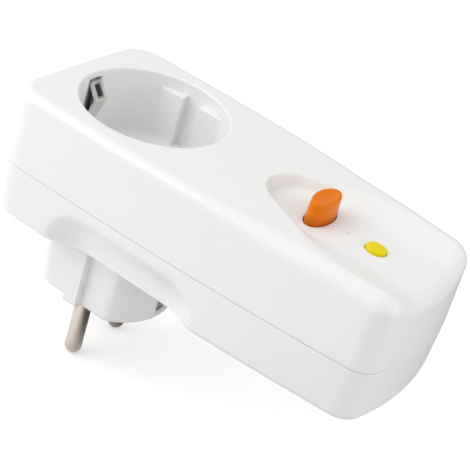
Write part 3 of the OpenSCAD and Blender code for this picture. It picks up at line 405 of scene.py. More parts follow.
def plan_net(outer, holes, loose):
    """Triangles between an outer loop and hole loops, through loose points, as plan points and faces."""
    loops = [outer[:, :2], *[h[:, :2] for h in holes]]
    edges, start = [], 0
    for loop in loops:
        index = np.arange(len(loop)) + start
        edges += list(zip(index.tolist(), np.roll(index, -1).tolist()))
        start += len(loop)
    points = np.vstack(loops + [loose])
    made = delaunay_2d_cdt([Vector(p) for p in points], edges, [], 1, TINY)
    xy = np.array([v[:] for v in made[0]])
    faces = np.array(made[2])
    centre = xy[faces].mean(1)
    keep = inside(centre, loops[0])
    for loop in loops[1:]:
        keep &= ~inside(centre, loop)
    faces = faces[keep]
    a, b, c = (xy[faces[:, i]] for i in range(3))
    turn = (b - a)[:, 0] * (c - a)[:, 1] - (b - a)[:, 1] * (c - a)[:, 0]
    faces[turn < 0] = faces[turn < 0][:, ::-1]
    return xy, faces


def filled_plan(outer, holes, loose, edge_gap, hole_gap):
    """Net between loops, through those loose points that keep their distance from every loop."""
    keep = inside(loose, outer[:, :2]) & clear_of(loose, outer[:, :2], edge_gap)
    for hole in holes:
        keep &= ~inside(loose, hole) & clear_of(loose, hole, hole_gap)
    return plan_net(outer, holes, loose[keep])


def hex_points(low, high, step):
    """Staggered grid of plan points over a box: each row is moved by half a step from the last."""
    x, y = np.meshgrid(np.arange(low[0], high[0], step), np.arange(low[1], high[1], step * ROW_SHARE))
    x[1::2] += step / 2
    return np.column_stack([x.ravel(), y.ravel()])


print("grid over the face:", len(hex_points(*COVER_BOX, FACE_STEP)), "points")

# %% [markdown]
# ## Making a piece
# Patches share their edge points, so welding joins them into one skin. Edges that turn by more
# than a set angle stay sharp and the rest shade smoothly. A moulding gets its wall from a
# Solidify modifier, which thickens the skin inwards.

# %% Making a piece
WELD_M, SLIVER_M, SHARP_DEG = 2e-6, 1e-7, 38


def make_piece(name, patches, finish, body, node=None, wall=0.0):
    """Welds patches in millimetres into one mesh in metres, with a wall if asked, riding on its body.

    Four values for the body (fixed body, moving body, start, end) leave the piece on no body, fixed where it
    is made.
    """
    points, faces, start = [], [], 0
    for p, f in patches:
        points.append(p)
        faces += (np.asarray(f) + start).tolist()
        start += len(p)
    mesh = bpy.data.meshes.new(name)
    mesh.from_pydata((np.vstack(points) * MM).tolist(), [], faces)
    work = bmesh.new()
    work.from_mesh(mesh)
    bmesh.ops.remove_doubles(work, verts=work.verts, dist=WELD_M)
    bmesh.ops.dissolve_degenerate(work, edges=work.edges, dist=SLIVER_M)
    work.to_mesh(mesh)
    work.free()
    mesh.shade_smooth()
    mesh.set_sharp_from_angle(angle=math.radians(SHARP_DEG))
    mesh.materials.append(FINISHES[finish])
    piece = into_scene(name, mesh)
    if wall:
        thick = piece.modifiers.new("wall", "SOLIDIFY")
        thick.thickness = wall * MM
        thick.offset = -1
    if isinstance(body, str):
        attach(piece, body)
    else:
        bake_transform(piece)
    if node:
        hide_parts(node)
    print(name + ":", len(mesh.vertices), "points,", len(mesh.polygons), "faces")


print("points closer than", WELD_M / MM, "mm are welded")

# %% [markdown]
# ## Front cover
# The level face carries a boat-shaped hollow for the buttons: a round tip opens into two long
# arcs and runs out over the button end. Its wall is steep at the tip and grows soft and wide
# towards the end. It could be sculpted, but a formula keeps its sizes: the signed distance to
# the outline, put through a smooth step whose width depends on x, gives that wall with a soft
# foot and a soft rim.

# %% Hollow in the face
HOLLOW_TIP_R, HOLLOW_C, HOLLOW_END, HOLLOW_HALF_W = 9.0, np.array([47.0, 0.0]), 78.0, 16.5
HOLLOW_SIDE_R = ((HOLLOW_END - HOLLOW_C[0]) ** 2 + HOLLOW_HALF_W ** 2 - HOLLOW_TIP_R ** 2) \
    / (2 * (HOLLOW_HALF_W - HOLLOW_TIP_R))
HOLLOW_SIDE_C = np.array([HOLLOW_END, HOLLOW_HALF_W - HOLLOW_SIDE_R])
TIP_FOOT, TIP_RIM, END_FOOT, END_RIM, SOFT_X0, SOFT_LEN = 1.1, 0.6, 9.0, 5.0, 44.0, 30.0
SIDE_STEPS, TIP_STEPS = 70, 26


def smooth_step(u):
    """Rises from 0 to 1 as 3u^2 - 2u^3, level at both ends."""
    u = np.clip(u, 0, 1)
    return u * u * (3 - 2 * u)


def hollow_distance(x, y):
    """Signed distance to the hollow's outline: tip circle, side arc, then a straight run; below 0 inside."""
    y = np.abs(y)
    across = HOLLOW_C - HOLLOW_SIDE_C
    left = across[0] * (y - HOLLOW_SIDE_C[1]) - across[1] * (x - HOLLOW_SIDE_C[0]) > 0
    tip = np.hypot(x - HOLLOW_C[0], y) - HOLLOW_TIP_R
    side = np.hypot(x - HOLLOW_SIDE_C[0], y - HOLLOW_SIDE_C[1]) - HOLLOW_SIDE_R
    return np.where(left, tip, np.where(x > HOLLOW_END, y - HOLLOW_HALF_W, side))


def wall_widths(x):
    """Widths of the hollow's wall inside and outside its outline: narrow at the tip, wide at the end."""
    share = smooth_step((x - SOFT_X0) / SOFT_LEN)
    return TIP_FOOT + (END_FOOT - TIP_FOOT) * share, TIP_RIM + (END_RIM - TIP_RIM) * share


def wall_share(x, y):
    """0 at the wall's foot and 1 at its rim, unclipped."""
    foot, rim = wall_widths(x)
    return (hollow_distance(x, y) + foot) / (foot + rim)


def face_height(x, y):
    """Panel level inside the hollow, face level outside it, the smooth wall between."""
    return PANEL_Z + (FACE_Z - PANEL_Z) * smooth_step(wall_share(x, y))


def hollow_row(share):
    """Plan points along the hollow at one share of its wall's width."""
    a0 = bearing(HOLLOW_C - HOLLOW_SIDE_C)
    side_a, tip_a = np.linspace(math.pi / 2, a0, SIDE_STEPS), np.linspace(a0, math.pi, TIP_STEPS)[1:]
    spin = np.concatenate([side_a, tip_a])
    out = plan_way(spin)
    on_side = np.arange(len(spin)) < len(side_a)
    line = np.where(on_side[:, None], HOLLOW_SIDE_C + HOLLOW_SIDE_R * out, HOLLOW_C + HOLLOW_TIP_R * out)
    foot, rim = wall_widths(line[:, 0])
    upper = line + out * (share * (foot + rim) - foot)[:, None]
    return np.vstack([upper, upper[:-1] * (1, -1)])


print("hollow side radius", round(HOLLOW_SIDE_R, 2), "mm")

# %% [markdown]
# ## Button holes
# Each button slides in a hole of its own outline, grown by a narrow gap. A small rounded edge at
# the top catches the light as a thin line, and the wall below it guides the button. Rings of the
# grown outline give both.

# %% Button holes
RESET_HALF, TEST_R, TEST_EXTRA = np.array([3.0, 6.3]), 2.4, 0.6
BUTTON_GAP, HOLE_EDGE_R, HOLE_EDGE_STEPS, HOLE_DEPTHS = 0.15, 0.2, 6, (0.8, 1.6, 2.6)
RESET_SIDES, TEST_SIDES = 96, 72


def test_loop(extra):
    """Outline of the test button grown by extra: two half circles and the straights between them."""
    a = (np.arange(TEST_SIDES) + 0.5) * 2 * math.pi / TEST_SIDES
    shift = np.where(np.cos(a) > 0, TEST_EXTRA / 2, -TEST_EXTRA / 2)
    return np.column_stack([TEST_X + shift + (TEST_R + extra) * np.cos(a), (TEST_R + extra) * np.sin(a)])


def reset_loop(extra):
    """Oval of the reset button grown by extra: its half sizes times cosine and sine, long way across."""
    return np.array([RESET_X, 0]) + (RESET_HALF + extra) * circle_loop((0, 0), 1, RESET_SIDES)


def hole_rings(loop_of):
    """Rings down a button's hole: a small rounded edge, then the wall that guides the button."""
    rings = [at_height(loop_of(BUTTON_GAP + wider), PANEL_Z - down)
             for wider, down in rounded(HOLE_EDGE_R, HOLE_EDGE_STEPS)]
    return rings + [at_height(loop_of(BUTTON_GAP), PANEL_Z - depth) for depth in HOLE_DEPTHS]


reset_hole, test_hole = hole_rings(reset_loop), hole_rings(test_loop)
print("button holes:", len(reset_hole), "rings each")

# %% [markdown]
# ## Outer wall of the front cover
# The covers meet with a narrow gap and a small rounded edge on each, which is the fine line round
# the housing. The wall then rises with its draft to the rounded edge of the face. That edge dips
# with the hollow at the button end, so the height of its inner end is found first.

# %% Outer wall of the front cover
JOINT_STEPS, FRONT_WALL_STEPS, FACE_EDGE_STEPS, EDGE_ROUNDS = 5, 13, 15, 6


def edge_tops(z0, edge):
    """Height of the face at the inner end of its rounded edge, found by a few rounds of place and height."""
    top = np.full(len(OUTLINE), FACE_Z)
    for _ in range(EDGE_ROUNDS):
        ring = ring_points((top - edge - z0) * DRAFT + edge, 0.0)[:len(OUTLINE)]
        top = face_height(ring[:, 0], ring[:, 1])
    return top


def joint_rings(z0, way):
    """Lip inside the joint, then its rounded edge, going up for the way 1 and down for -1."""
    edge = [ring_points(inset, z0 + way * rise) for inset, rise in rounded(JOINT_EDGE_R, JOINT_STEPS)]
    return [ring_points(JOINT_LIP, z0), *edge]


def front_rings():
    """Rings from the joint's lip out over its small edge, up the drafted wall and round the top edge."""
    z0 = JOINT_Z + JOINT_GAP / 2
    edge = EDGE_R + (EDGE_NEAR_R - EDGE_R) * smooth_step((OUTLINE_X - EDGE_X0) / EDGE_LEN)
    top = edge_tops(z0, edge) - edge
    rings = joint_rings(z0, 1)
    for t in np.linspace(0, 1, FRONT_WALL_STEPS)[1:]:
        z = z0 + JOINT_EDGE_R + (top - z0 - JOINT_EDGE_R) * t
        rings.append(ring_points((z - z0) * DRAFT, z))
    for a in quarter(FACE_EDGE_STEPS)[1:]:
        rings.append(ring_points((top - z0) * DRAFT + edge * (1 - math.cos(a)), top + edge * math.sin(a)))
    return rings


front_skin = front_rings()
front_skin[-1][:, 2] = face_height(front_skin[-1][:, 0], front_skin[-1][:, 1])
print("front wall:", len(front_skin), "rings up to", front_skin[-1][:, 2].max().round(2), "mm")

# %% [markdown]
# ## Socket well
# The well is a round with a guide flat on two sides, a gap in each flat for a plug's rib, and a
# window at each end for an earth clip. Rings with one radius for each bearing give the round and
# the flats, and leaving out the quads of a window makes a true opening without a boolean cut.

# %% Socket well
WELL_RIM, FLOOR_Z, WELL_FOOT = 0.5, 39.0, 0.5
GUIDE_Y, GUIDE_TOP, GUIDE_HALF_GAP, GUIDE_SOFT = 17.0, 53.5, 2.8, 0.35
WINDOW_HALF_W, WINDOW_Z0, WINDOW_Z1, WINDOW_FROM_X = 2.6, 41.2, 55.4, 15
PIN_Y, PIN_HOLE_R, PIN_SIDES = 9.5, 2.55, 40
WELL_STEPS, WELL_WALL_STEPS, WELL_RIM_STEPS, WELL_FOOT_STEPS, BEARING_DIGITS = 121, 34, 7, 5, 6
NEAR_GUIDE, NEAR_GUIDE_TOP = np.linspace(-0.03, 0.03, 9), np.linspace(-0.5, 0.5, 7)


def full_turn(*parts):
    """Bearings of a half turn, sorted and without doubles, and the same again for the other half."""
    half = np.unique(np.round(np.concatenate(parts), BEARING_DIGITS))
    return np.concatenate([half[:-1], half[:-1] + round(math.pi, BEARING_DIGITS)])


def well_bearings():
    """Bearings round the well: even steps, with more where a guide flat or a clip window ends."""
    gap = math.acos(GUIDE_HALF_GAP / WELL_R)
    window = math.asin(WINDOW_HALF_W / WELL_R)
    return full_turn(np.linspace(0, math.pi, WELL_STEPS), math.pi - gap + NEAR_GUIDE, gap + NEAR_GUIDE,
                     [window, math.pi - window])


def well_rings(bearings):
    """Rings down the well: rounded rim, wall with its guide flats, rounded foot and the floor's edge."""
    heights = np.unique(np.concatenate([np.linspace(FLOOR_Z + WELL_FOOT, FACE_Z - WELL_RIM, WELL_WALL_STEPS),
                                        GUIDE_TOP + NEAR_GUIDE_TOP, [WINDOW_Z0, WINDOW_Z1]]))[::-1]
    spin = plan_way(bearings)
    rings = [at_height((WELL_R + wider) * spin, FACE_Z - down)
             for wider, down in rounded(WELL_RIM, WELL_RIM_STEPS)[:-1]]
    flat_r = np.minimum(GUIDE_Y / np.maximum(np.abs(spin[:, 1]), TINY), WELL_R)
    beside = smooth_step((np.abs(WELL_R * spin[:, 0]) - GUIDE_HALF_GAP + GUIDE_SOFT / 2) / GUIDE_SOFT)
    inset = (WELL_R - flat_r) * beside
    for z in heights:
        below = smooth_step((GUIDE_TOP + GUIDE_SOFT / 2 - z) / GUIDE_SOFT)
        rings.append(at_height((WELL_R - inset * below)[:, None] * spin, z))
    for up, narrower in rounded(WELL_FOOT, WELL_FOOT_STEPS)[1:]:
        rings.append(at_height((WELL_R - inset - narrower)[:, None] * spin, FLOOR_Z + up))
    return rings


def without_windows(patch, from_x, half_w, z0, z1):
    """Drops the quads whose middles lie in a window at -X or +X, which leaves a true opening."""
    points, faces = patch
    middle = points[faces].mean(1)
    shut = (np.abs(middle[:, 0]) > from_x) & (np.abs(middle[:, 1]) < half_w)
    shut &= (middle[:, 2] > z0) & (middle[:, 2] < z1)
    return points, faces[~shut]


def pin_circles(r):
    """Plan circles of one radius round the two pin places."""
    return [circle_loop((0, side * PIN_Y), r, PIN_SIDES) for side in (-1, 1)]


well_skin = well_rings(well_bearings())
well_patch = without_windows(ring_patch(well_skin), WINDOW_FROM_X, WINDOW_HALF_W, WINDOW_Z0, WINDOW_Z1)
floor_xy, floor_faces = plan_net(well_skin[-1], pin_circles(PIN_HOLE_R), np.zeros((0, 2)))
floor_patch = (at_height(floor_xy, FLOOR_Z), floor_faces)
print("well:", len(well_skin), "rings,", len(well_patch[1]), "quads beside its windows")

# %% [markdown]
# ## Front cover, put together
# The face is a net between its outer edge and the rims of well, button holes and dimple. Rows of
# points along the hollow's wall keep its steep part even, where a plain grid would look ragged.
# All patches are then welded into one skin with the wall of a moulding.

# %% Front cover, put together
DOT_R, DOT_DEPTH, DOT_POWER, DOT_FLOOR, DOT_SIDES, DOT_STEPS = 0.45, 0.7, 6, 0.2, 24, 12
ROW_SHARES, ROW_MARGIN, ROWS_TO_X, GRID_FROM_X = np.linspace(-0.15, 1.15, 12), 0.35, 61.0, 61.6
FACE_GAPS = (0.6, 0.35)
dot_shares = np.linspace(1, DOT_FLOOR, DOT_STEPS)
dot_rings = [at_height(circle_loop((DOT_X, 0), DOT_R * u, DOT_SIDES), PANEL_Z - depth)
             for u, depth in zip(dot_shares, DOT_DEPTH * (1 - dot_shares ** DOT_POWER))]
rows = np.vstack([hollow_row(share) for share in ROW_SHARES])
grid = hex_points(*COVER_BOX, FACE_STEP)
share = wall_share(grid[:, 0], grid[:, 1])
off_wall = (grid[:, 0] > GRID_FROM_X) | (share < -ROW_MARGIN) | (share > 1 + ROW_MARGIN)
loose = np.vstack([grid[off_wall], rows[rows[:, 0] < ROWS_TO_X]])
rims = [rings[0][:, :2] for rings in (well_skin, reset_hole, test_hole, dot_rings)]
xy, faces = filled_plan(front_skin[-1], rims, loose, *FACE_GAPS)
face_patch = (np.column_stack([xy, face_height(xy[:, 0], xy[:, 1])]), faces)
front_patches = [ring_patch(front_skin), face_patch, well_patch, floor_patch, ring_patch(reset_hole),
                 ring_patch(test_hole), ring_patch(dot_rings), fan_patch(dot_rings[-1])]
make_piece("front_cover_skin", front_patches, "shell_white", "housing", "front_cover", wall=WALL)

# %% [markdown]
# ## Painted shade in the clip slots
# The slot in the earth clip's sloped lead-in reads solid black, from the shade in the cavity
# behind it. A thin dark strip, a sheet of painted shade, follows the back of each lead-in: a
# small grid laid along the clip's line, moved back by half the clip's thickness.

# %% Painted shade in the clip slots
CLIP_TOP, CLIP_LOW, CLIP_HALF_T = np.array([19.6, 54.2]), np.array([16.7, 50.4]), 0.4
SHADE_SHEET_HALF_W, SHADE_SHEET_T, SHADE_SHEET_GAP, SHADE_SHEET_STEPS, SHADE_SHEET_ENDS = 1.4, 0.12, 0.02, (9, 7), (0.02, 0.97)


def slot_shade_sheet(side):
    """Painted shade sheet on the clip's slope: share t down the line, share v across, set back along the
    slope's normal.
    """
    rows, columns = SHADE_SHEET_STEPS
    t, v = (g.ravel() for g in np.meshgrid(np.linspace(*SHADE_SHEET_ENDS, rows), np.linspace(-1, 1, columns),
                                           indexing="ij"))
    along = (CLIP_LOW - CLIP_TOP) / np.linalg.norm(CLIP_LOW - CLIP_TOP)
    behind = (CLIP_HALF_T + SHADE_SHEET_GAP) * np.array([-along[1], along[0]])
    line = CLIP_TOP + (CLIP_LOW - CLIP_TOP) * t[:, None] + behind
    points = np.column_stack([side * line[:, 0], SHADE_SHEET_HALF_W * v, line[:, 1]])
    here = (np.arange(rows - 1)[:, None] * columns + np.arange(columns - 1)).ravel()
    faces = np.column_stack([here, here + columns, here + columns + 1, here + 1])
    return points, faces if side < 0 else faces[:, ::-1]


# Each slot gets a dark sheet of painted shade behind it.
for name, side in (("far", -1), ("near", 1)):
    make_piece("clip_slot_painted_shade_" + name, [slot_shade_sheet(side)], "component_black", "housing", wall=SHADE_SHEET_T)

# %% [markdown]
# ## Rear cover
# The rear cover mirrors the front one below the joint. A finger scoop is pressed into each
# long side. The scoop is a capsule, so at each place along the side and each height it says
# how far in the wall has to go, and a smooth maximum with the plain wall rounds its edge. A
# boolean cut would leave a hard one.

# %% Finger scoops and rear wall
SCOOP_R, SCOOP_DEPTH, SCOOP_RISE, SCOOP_X0, SCOOP_X1 = 13.0, 5.6, 0.6, 5.0, 30.0
SCOOP_Y, SCOOP_Z = HALF_W - SCOOP_DEPTH + SCOOP_R, BACK_Z + SCOOP_RISE
SCOOP_SOFT, SCOOP_EDGE_R, SCOOP_EDGE_FADE = 2.6, 0.4, 1.5
REAR_WALL_STEPS, BACK_EDGE_STEPS = 34, 17


def smooth_max(a, b, soft):
    """The larger of two values, with a parabola of width soft where they are close."""
    near = np.maximum(soft - np.abs(a - b), 0) / soft
    return np.maximum(a, b) + near ** 2 * soft / 4


def scooped_ring(inset, z):
    """Ring of the outline at one height, moved in to the scoop's capsule where that lies deeper."""
    plain = ring_points(inset, z)[:len(OUTLINE)]
    past = np.maximum(np.maximum(SCOOP_X0 - plain[:, 0], plain[:, 0] - SCOOP_X1), 0)
    room = SCOOP_R ** 2 - (z - SCOOP_Z) ** 2 - past ** 2
    scoop = np.sqrt(np.maximum(room, 0)) - SCOOP_Y - plain[:, 1] + np.minimum(room, 0) / SCOOP_R
    depth = smooth_max(0.0, scoop, SCOOP_SOFT)
    rise = np.clip(z - BACK_Z, 0, SCOOP_EDGE_R)
    edge = SCOOP_EDGE_R - math.sqrt(SCOOP_EDGE_R ** 2 - (SCOOP_EDGE_R - rise) ** 2)
    return ring_points(inset + depth + edge * smooth_step(depth / SCOOP_EDGE_FADE), z)


def rear_rings():
    """Rings from the joint's lip out over its small edge, down the wall and round the back's edge."""
    z0 = JOINT_Z - JOINT_GAP / 2
    low = BACK_Z + BACK_EDGE_R
    rings = joint_rings(z0, -1)
    for z in np.linspace(z0 - JOINT_EDGE_R, low, REAR_WALL_STEPS)[1:]:
        rings.append(scooped_ring((z0 - z) * DRAFT, z))
    for a in quarter(BACK_EDGE_STEPS)[1:]:
        rings.append(scooped_ring((z0 - low) * DRAFT + BACK_EDGE_R * (1 - math.cos(a)),
                                  low - BACK_EDGE_R * math.sin(a)))
    return rings


rear_skin = rear_rings()
print("rear wall:", len(rear_skin), "rings down to", rear_skin[-1][:, 2].min().round(2), "mm")

# %% [markdown]
# ## Plug outline
# The plug is a round with a flat on each side and a guide rib on each flat, so that it goes into
# a well like the one above. One radius for each bearing gives its outline, and a smooth maximum
# or minimum rounds the corners of flats and ribs, as a moulding has them.

# %% Plug outline
PLUG_R, PLUG_FLAT_Y, PLUG_RIB_Y, PLUG_RIB_HALF_W = 18.4, 15.0, 17.3, 2.2
PLUG_CORNER_SOFT, RIB_SOFT, OUT_OF_REACH, RIB_FOOT_SHARE = 1.2, 0.9, 30.0, 0.98
SLOT_HALF_W, SLOT_Z0, SLOT_Z1, SLOT_FROM_X = 2.6, 2.2, 18.4, 15
PLUG_STEPS, NEAR_CORNER = 161, np.linspace(-0.06, 0.06, 17)


def plug_bearings():
    """Bearings round the plug, even in angle, with more at the ends of its flats and ribs."""
    corners = np.array([math.acos(PLUG_RIB_HALF_W / PLUG_FLAT_Y * RIB_FOOT_SHARE),
                        math.asin(PLUG_FLAT_Y / PLUG_R), math.atan2(PLUG_RIB_Y, PLUG_RIB_HALF_W),
                        math.atan2(PLUG_FLAT_Y, PLUG_RIB_HALF_W)])
    near = (np.concatenate([corners, math.pi - corners])[:, None] + NEAR_CORNER).ravel()
    slot = math.asin(SLOT_HALF_W / PLUG_R)
    return full_turn(np.linspace(0, math.pi, PLUG_STEPS), near, [slot, math.pi - slot])


def plug_radius(bearings):
    """Radius of the plug's outline: the round, cut softly by two flats, with a rib standing on each."""
    c, s = (np.maximum(np.abs(f(bearings)), TINY) for f in (np.cos, np.sin))
    flat, rib_top, rib_side = (np.minimum(reach, OUT_OF_REACH) for reach in
                               (PLUG_FLAT_Y / s, PLUG_RIB_Y / s, PLUG_RIB_HALF_W / c))
    return smooth_max(-smooth_max(-flat, -PLUG_R, PLUG_CORNER_SOFT),
                      -smooth_max(-rib_top, -rib_side, RIB_SOFT), RIB_SOFT)


plug_turns = plug_bearings()
plug_r = plug_radius(plug_turns)
plug_spin = plan_way(plug_turns)
print("plug outline:", len(plug_r), "bearings, radius", plug_r.min().round(2), "to", plug_r.max().round(2))

# %% [markdown]
# ## Rear cover, put together
# The back is a level net with one hole for the plug body and four for the screws that hold the
# covers together. It is welded to the wall's last ring and gets the same wall as the front cover.

# %% Rear cover, put together
SCREWS = [(-19.5, 18.8), (-19.5, -18.8), (76.0, 13.0), (76.0, -13.0)]
SCREW_WELL_R, SCREW_SIDES, PLUG_HOLE_GAP = 3.1, 32, 0.05
BACK_STEP, BACK_GAPS = 1.5, (0.5, 0.4)
back_holes = [(plug_r + PLUG_HOLE_GAP)[:, None] * plug_spin,
              *[circle_loop(place, SCREW_WELL_R, SCREW_SIDES) for place in SCREWS]]
xy, faces = filled_plan(rear_skin[-1], back_holes, hex_points(*COVER_BOX, BACK_STEP), *BACK_GAPS)
back_patch = (at_height(xy, BACK_Z), faces[:, ::-1])
wall_points, wall_faces = ring_patch(rear_skin)
make_piece("rear_cover_skin", [(wall_points, wall_faces[:, ::-1]), back_patch], "shell_white", "housing",
           "rear_cover", wall=WALL)

# %% [markdown]
# ## Plug body
# The outline is carried up from the pin face: a rounded edge, then a straight side that ends just
# inside the back. The slots for the earth contacts are left open like the windows of the well.

# %% Plug body
PLUG_EDGE_R, PLUG_WALL, PLUG_SUNK, PIN_SHOULDER_R = 2.2, 1.8, 0.8, 2.74
PLUG_EDGE_STEPS, PLUG_SIDE_STEPS = 9, 20
PIN_FACE_BOX, PIN_FACE_STEP, PIN_FACE_GAPS = ((-18, -18), (18, 18)), 1.6, (0.6, 0.5)


def plug_rings():
    """Rings up the plug: rounded edge of the pin face, then the straight side to the back."""
    edge = [at_height((plug_r - inset)[:, None] * plug_spin, z)
            for inset, z in rounded(PLUG_EDGE_R, PLUG_EDGE_STEPS)]
    heights = np.unique(np.concatenate([np.linspace(PLUG_EDGE_R, BACK_Z + PLUG_SUNK, PLUG_SIDE_STEPS)[1:],
                                        [SLOT_Z0, SLOT_Z1]]))
    return edge + [at_height(plug_r[:, None] * plug_spin, z) for z in heights]


plug_skin = plug_rings()
xy, faces = filled_plan(plug_skin[0], pin_circles(PIN_SHOULDER_R), hex_points(*PIN_FACE_BOX, PIN_FACE_STEP),
                        *PIN_FACE_GAPS)
pin_face = (at_height(xy, 0.0), faces[:, ::-1])
plug_side = without_windows(ring_patch(plug_skin), SLOT_FROM_X, SLOT_HALF_W, SLOT_Z0, SLOT_Z1)
make_piece("plug_body_skin", [plug_side, pin_face], "shell_white", "housing", "plug_body", wall=PLUG_WALL)

# %% [markdown]
# ## Reset button
# Each button is a stack of ovals: stem, the flange that keeps it in, the column, a rounded lip
# and the top. The reset button's column narrows a little towards its top, which is dished for a
# fingertip. A lathe makes round shapes only, so the ovals are stacked ring by ring.

# %% Reset button
RESET_TOP_HALF, RESET_TOP_Z, RESET_LIP, RESET_DISH = np.array([2.9, 5.7]), 60.0, 0.6, 0.5
STEM_R, STEM_Z, FLANGE_Z, FLANGE_T, FLANGE_W, TAPER_RISE = 2.8, 46.2, 49.9, 1.2, 0.8, 0.3
COLUMN_STEPS, LIP_STEPS, DISH_SHARES = 14, 10, np.linspace(1, 0.06, 18)


def closed_tube(rings):
    """Skin of a stack of rings with both ends closed."""
    return [ring_patch(rings), fan_patch(rings[-1]), fan_patch(rings[0][::-1])]


def reset_ovals():
    """Half sizes and heights from stem to dish: stem, flange, straight and tapered column, lip arc, dish."""
    stem = np.array([STEM_R, STEM_R])
    rows = [(stem, STEM_Z), (stem, FLANGE_Z), (RESET_HALF + FLANGE_W, FLANGE_Z),
            (RESET_HALF + FLANGE_W, FLANGE_Z + FLANGE_T), (RESET_HALF, FLANGE_Z + FLANGE_T)]
    low, high = PANEL_Z + TAPER_RISE, RESET_TOP_Z - RESET_LIP
    rows += [(RESET_HALF + (RESET_TOP_HALF - RESET_HALF) * t, low + (high - low) * t)
             for t in np.linspace(0, 1, COLUMN_STEPS)]
    rows += [(RESET_TOP_HALF - RESET_LIP * (1 - math.cos(a)), high + RESET_LIP * math.sin(a))
             for a in quarter(LIP_STEPS)[1:]]
    rows += [((RESET_TOP_HALF - RESET_LIP) * u, RESET_TOP_Z - RESET_DISH * (1 - smooth_step(u)))
             for u in DISH_SHARES[1:]]
    return rows


reset_rings = [at_height(reset_loop(half - RESET_HALF), z) for half, z in reset_ovals()]
make_piece("reset_button_cap", closed_tube(reset_rings), "button_orange", "reset", "reset_button")

# %% [markdown]
# ## Test button
# The test button is a low oval with a flange, a rounded lip and a slightly crowned top. Each row
# of it is the button's outline moved in by an inset, so two short lists give the whole shape.

# %% Test button
TEST_TOP_Z, TEST_LIP, TEST_CROWN, TEST_FLANGE_Z = 55.0, 0.45, 0.15, 49.1
TEST_LIP_STEPS, CROWN_SHARES = 8, np.linspace(1, 0.03, 12)
lip, crown = quarter(TEST_LIP_STEPS)[1:], CROWN_SHARES[1:]
insets = np.concatenate([[-FLANGE_W, -FLANGE_W, 0, 0], TEST_LIP * (1 - np.cos(lip)),
                         TEST_LIP + (TEST_R - TEST_LIP) * (1 - crown)])
heights = np.concatenate([[TEST_FLANGE_Z, TEST_FLANGE_Z + FLANGE_T, TEST_FLANGE_Z + FLANGE_T,
                           TEST_TOP_Z - TEST_LIP - TEST_CROWN],
                          TEST_TOP_Z - TEST_CROWN - TEST_LIP * (1 - np.sin(lip)),
                          TEST_TOP_Z - TEST_CROWN * crown ** 2])
test_rings = [at_height(test_loop(-d), h) for d, h in zip(insets, heights)]
make_piece("test_button_cap", closed_tube(test_rings), "button_yellow", "test", "test_button")

# %% [markdown]
# ## Springs and test leaf
# Inside, two wire springs push the contact carrier and the trip plunger back, and a brass leaf
# bends under the test button. Each joins the fixed housing to a moving body and is made in its
# place between the two. A spring is a round wire along a helix, placed by its box in the
# imported model, and the leaf is a flat strip along a line. A bevelled curve could draw the wire,
# but rings make all three in the same way.

# %% Springs and test leaf
WIRE_SIDES, STEPS_A_TURN = 12, 40
RETURN_SPRING, PLUNGER_SPRING = (3.1, 0.35, 6), (2.45, 0.2, 4)
LEAF_LINE = np.array([(66.9, 48.5), (73.3, 48.5), (74.2, 47.8), (76.8, 47.8)])
LEAF_HALF_W, LEAF_HALF_T, LEAF_CHAMFER, LEAF_STEPS = 1.5, 0.15, 0.05, 60
LEAF_BEND_X = (73.4, 70.6)


def spring_rings(length, coil_r, wire_r, turns):
    """Rings of a round wire on a helix: the bearing and the height both grow evenly from end to end."""
    t = np.linspace(0, 1, turns * STEPS_A_TURN + 1)[:, None]
    a, b = 2 * math.pi * turns * t, -np.arange(WIRE_SIDES) * 2 * math.pi / WIRE_SIDES
    q = coil_r + wire_r * np.cos(b)
    z = wire_r + (length - 2 * wire_r) * t + wire_r * np.sin(b)
    return np.stack([q * np.cos(a), q * np.sin(a), z], axis=2)


def leaf_rings():
    """Rings of a flat strip with chamfered edges: a cross-section set square to each point of the line."""
    run = np.concatenate([[0], np.cumsum(np.linalg.norm(np.diff(LEAF_LINE, axis=0), axis=1))])
    at = np.linspace(0, run[-1], LEAF_STEPS)
    line = np.column_stack([np.interp(at, run, LEAF_LINE[:, i]) for i in (0, 1)])
    way = np.gradient(line, axis=0)
    way /= np.linalg.norm(way, axis=1)[:, None]
    w, t, c = LEAF_HALF_W, LEAF_HALF_T, LEAF_CHAMFER
    across = np.array([w, w, w - c, c - w, -w, -w, c - w, w - c])
    lift = np.array([c - t, t - c, t, t, t - c, c - t, -t, -t])
    x, z = (line[:, i:i + 1] + lift * n for i, n in ((0, -way[:, 1:]), (1, way[:, :1])))
    return np.stack([x, np.broadcast_to(across, x.shape), z], axis=2)


low, high = (np.array(corner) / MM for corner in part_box("return_spring"))
foot = np.array([(low[0] + high[0]) / 2, (low[1] + high[1]) / 2, low[2]])
tip = foot + (0, 0, high[2] - low[2])
make_piece("return_spring_coil", closed_tube(spring_rings(high[2] - low[2], *RETURN_SPRING) + foot),
           "spring_steel", ("housing", "carrier", foot * MM, tip * MM), "return_spring")
low, high = (np.array(corner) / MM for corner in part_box("plunger_spring"))
tip = np.array([low[0], (low[1] + high[1]) / 2, (low[2] + high[2]) / 2])
foot = tip + (high[0] - low[0], 0, 0)
coil = spring_rings(high[0] - low[0], *PLUNGER_SPRING)[:, :, [2, 0, 1]] + tip
make_piece("plunger_spring_coil", closed_tube(coil), "spring_steel",
           ("housing", "plunger", foot * MM, tip * MM), "plunger_spring")
leaf_ends = [np.array([x, 0, LEAF_LINE[0, 1]]) * MM for x in LEAF_BEND_X]
make_piece("test_leaf_strip", closed_tube(leaf_rings()), "contact_brass", ("housing", "test", *leaf_ends),
           "test_leaf")
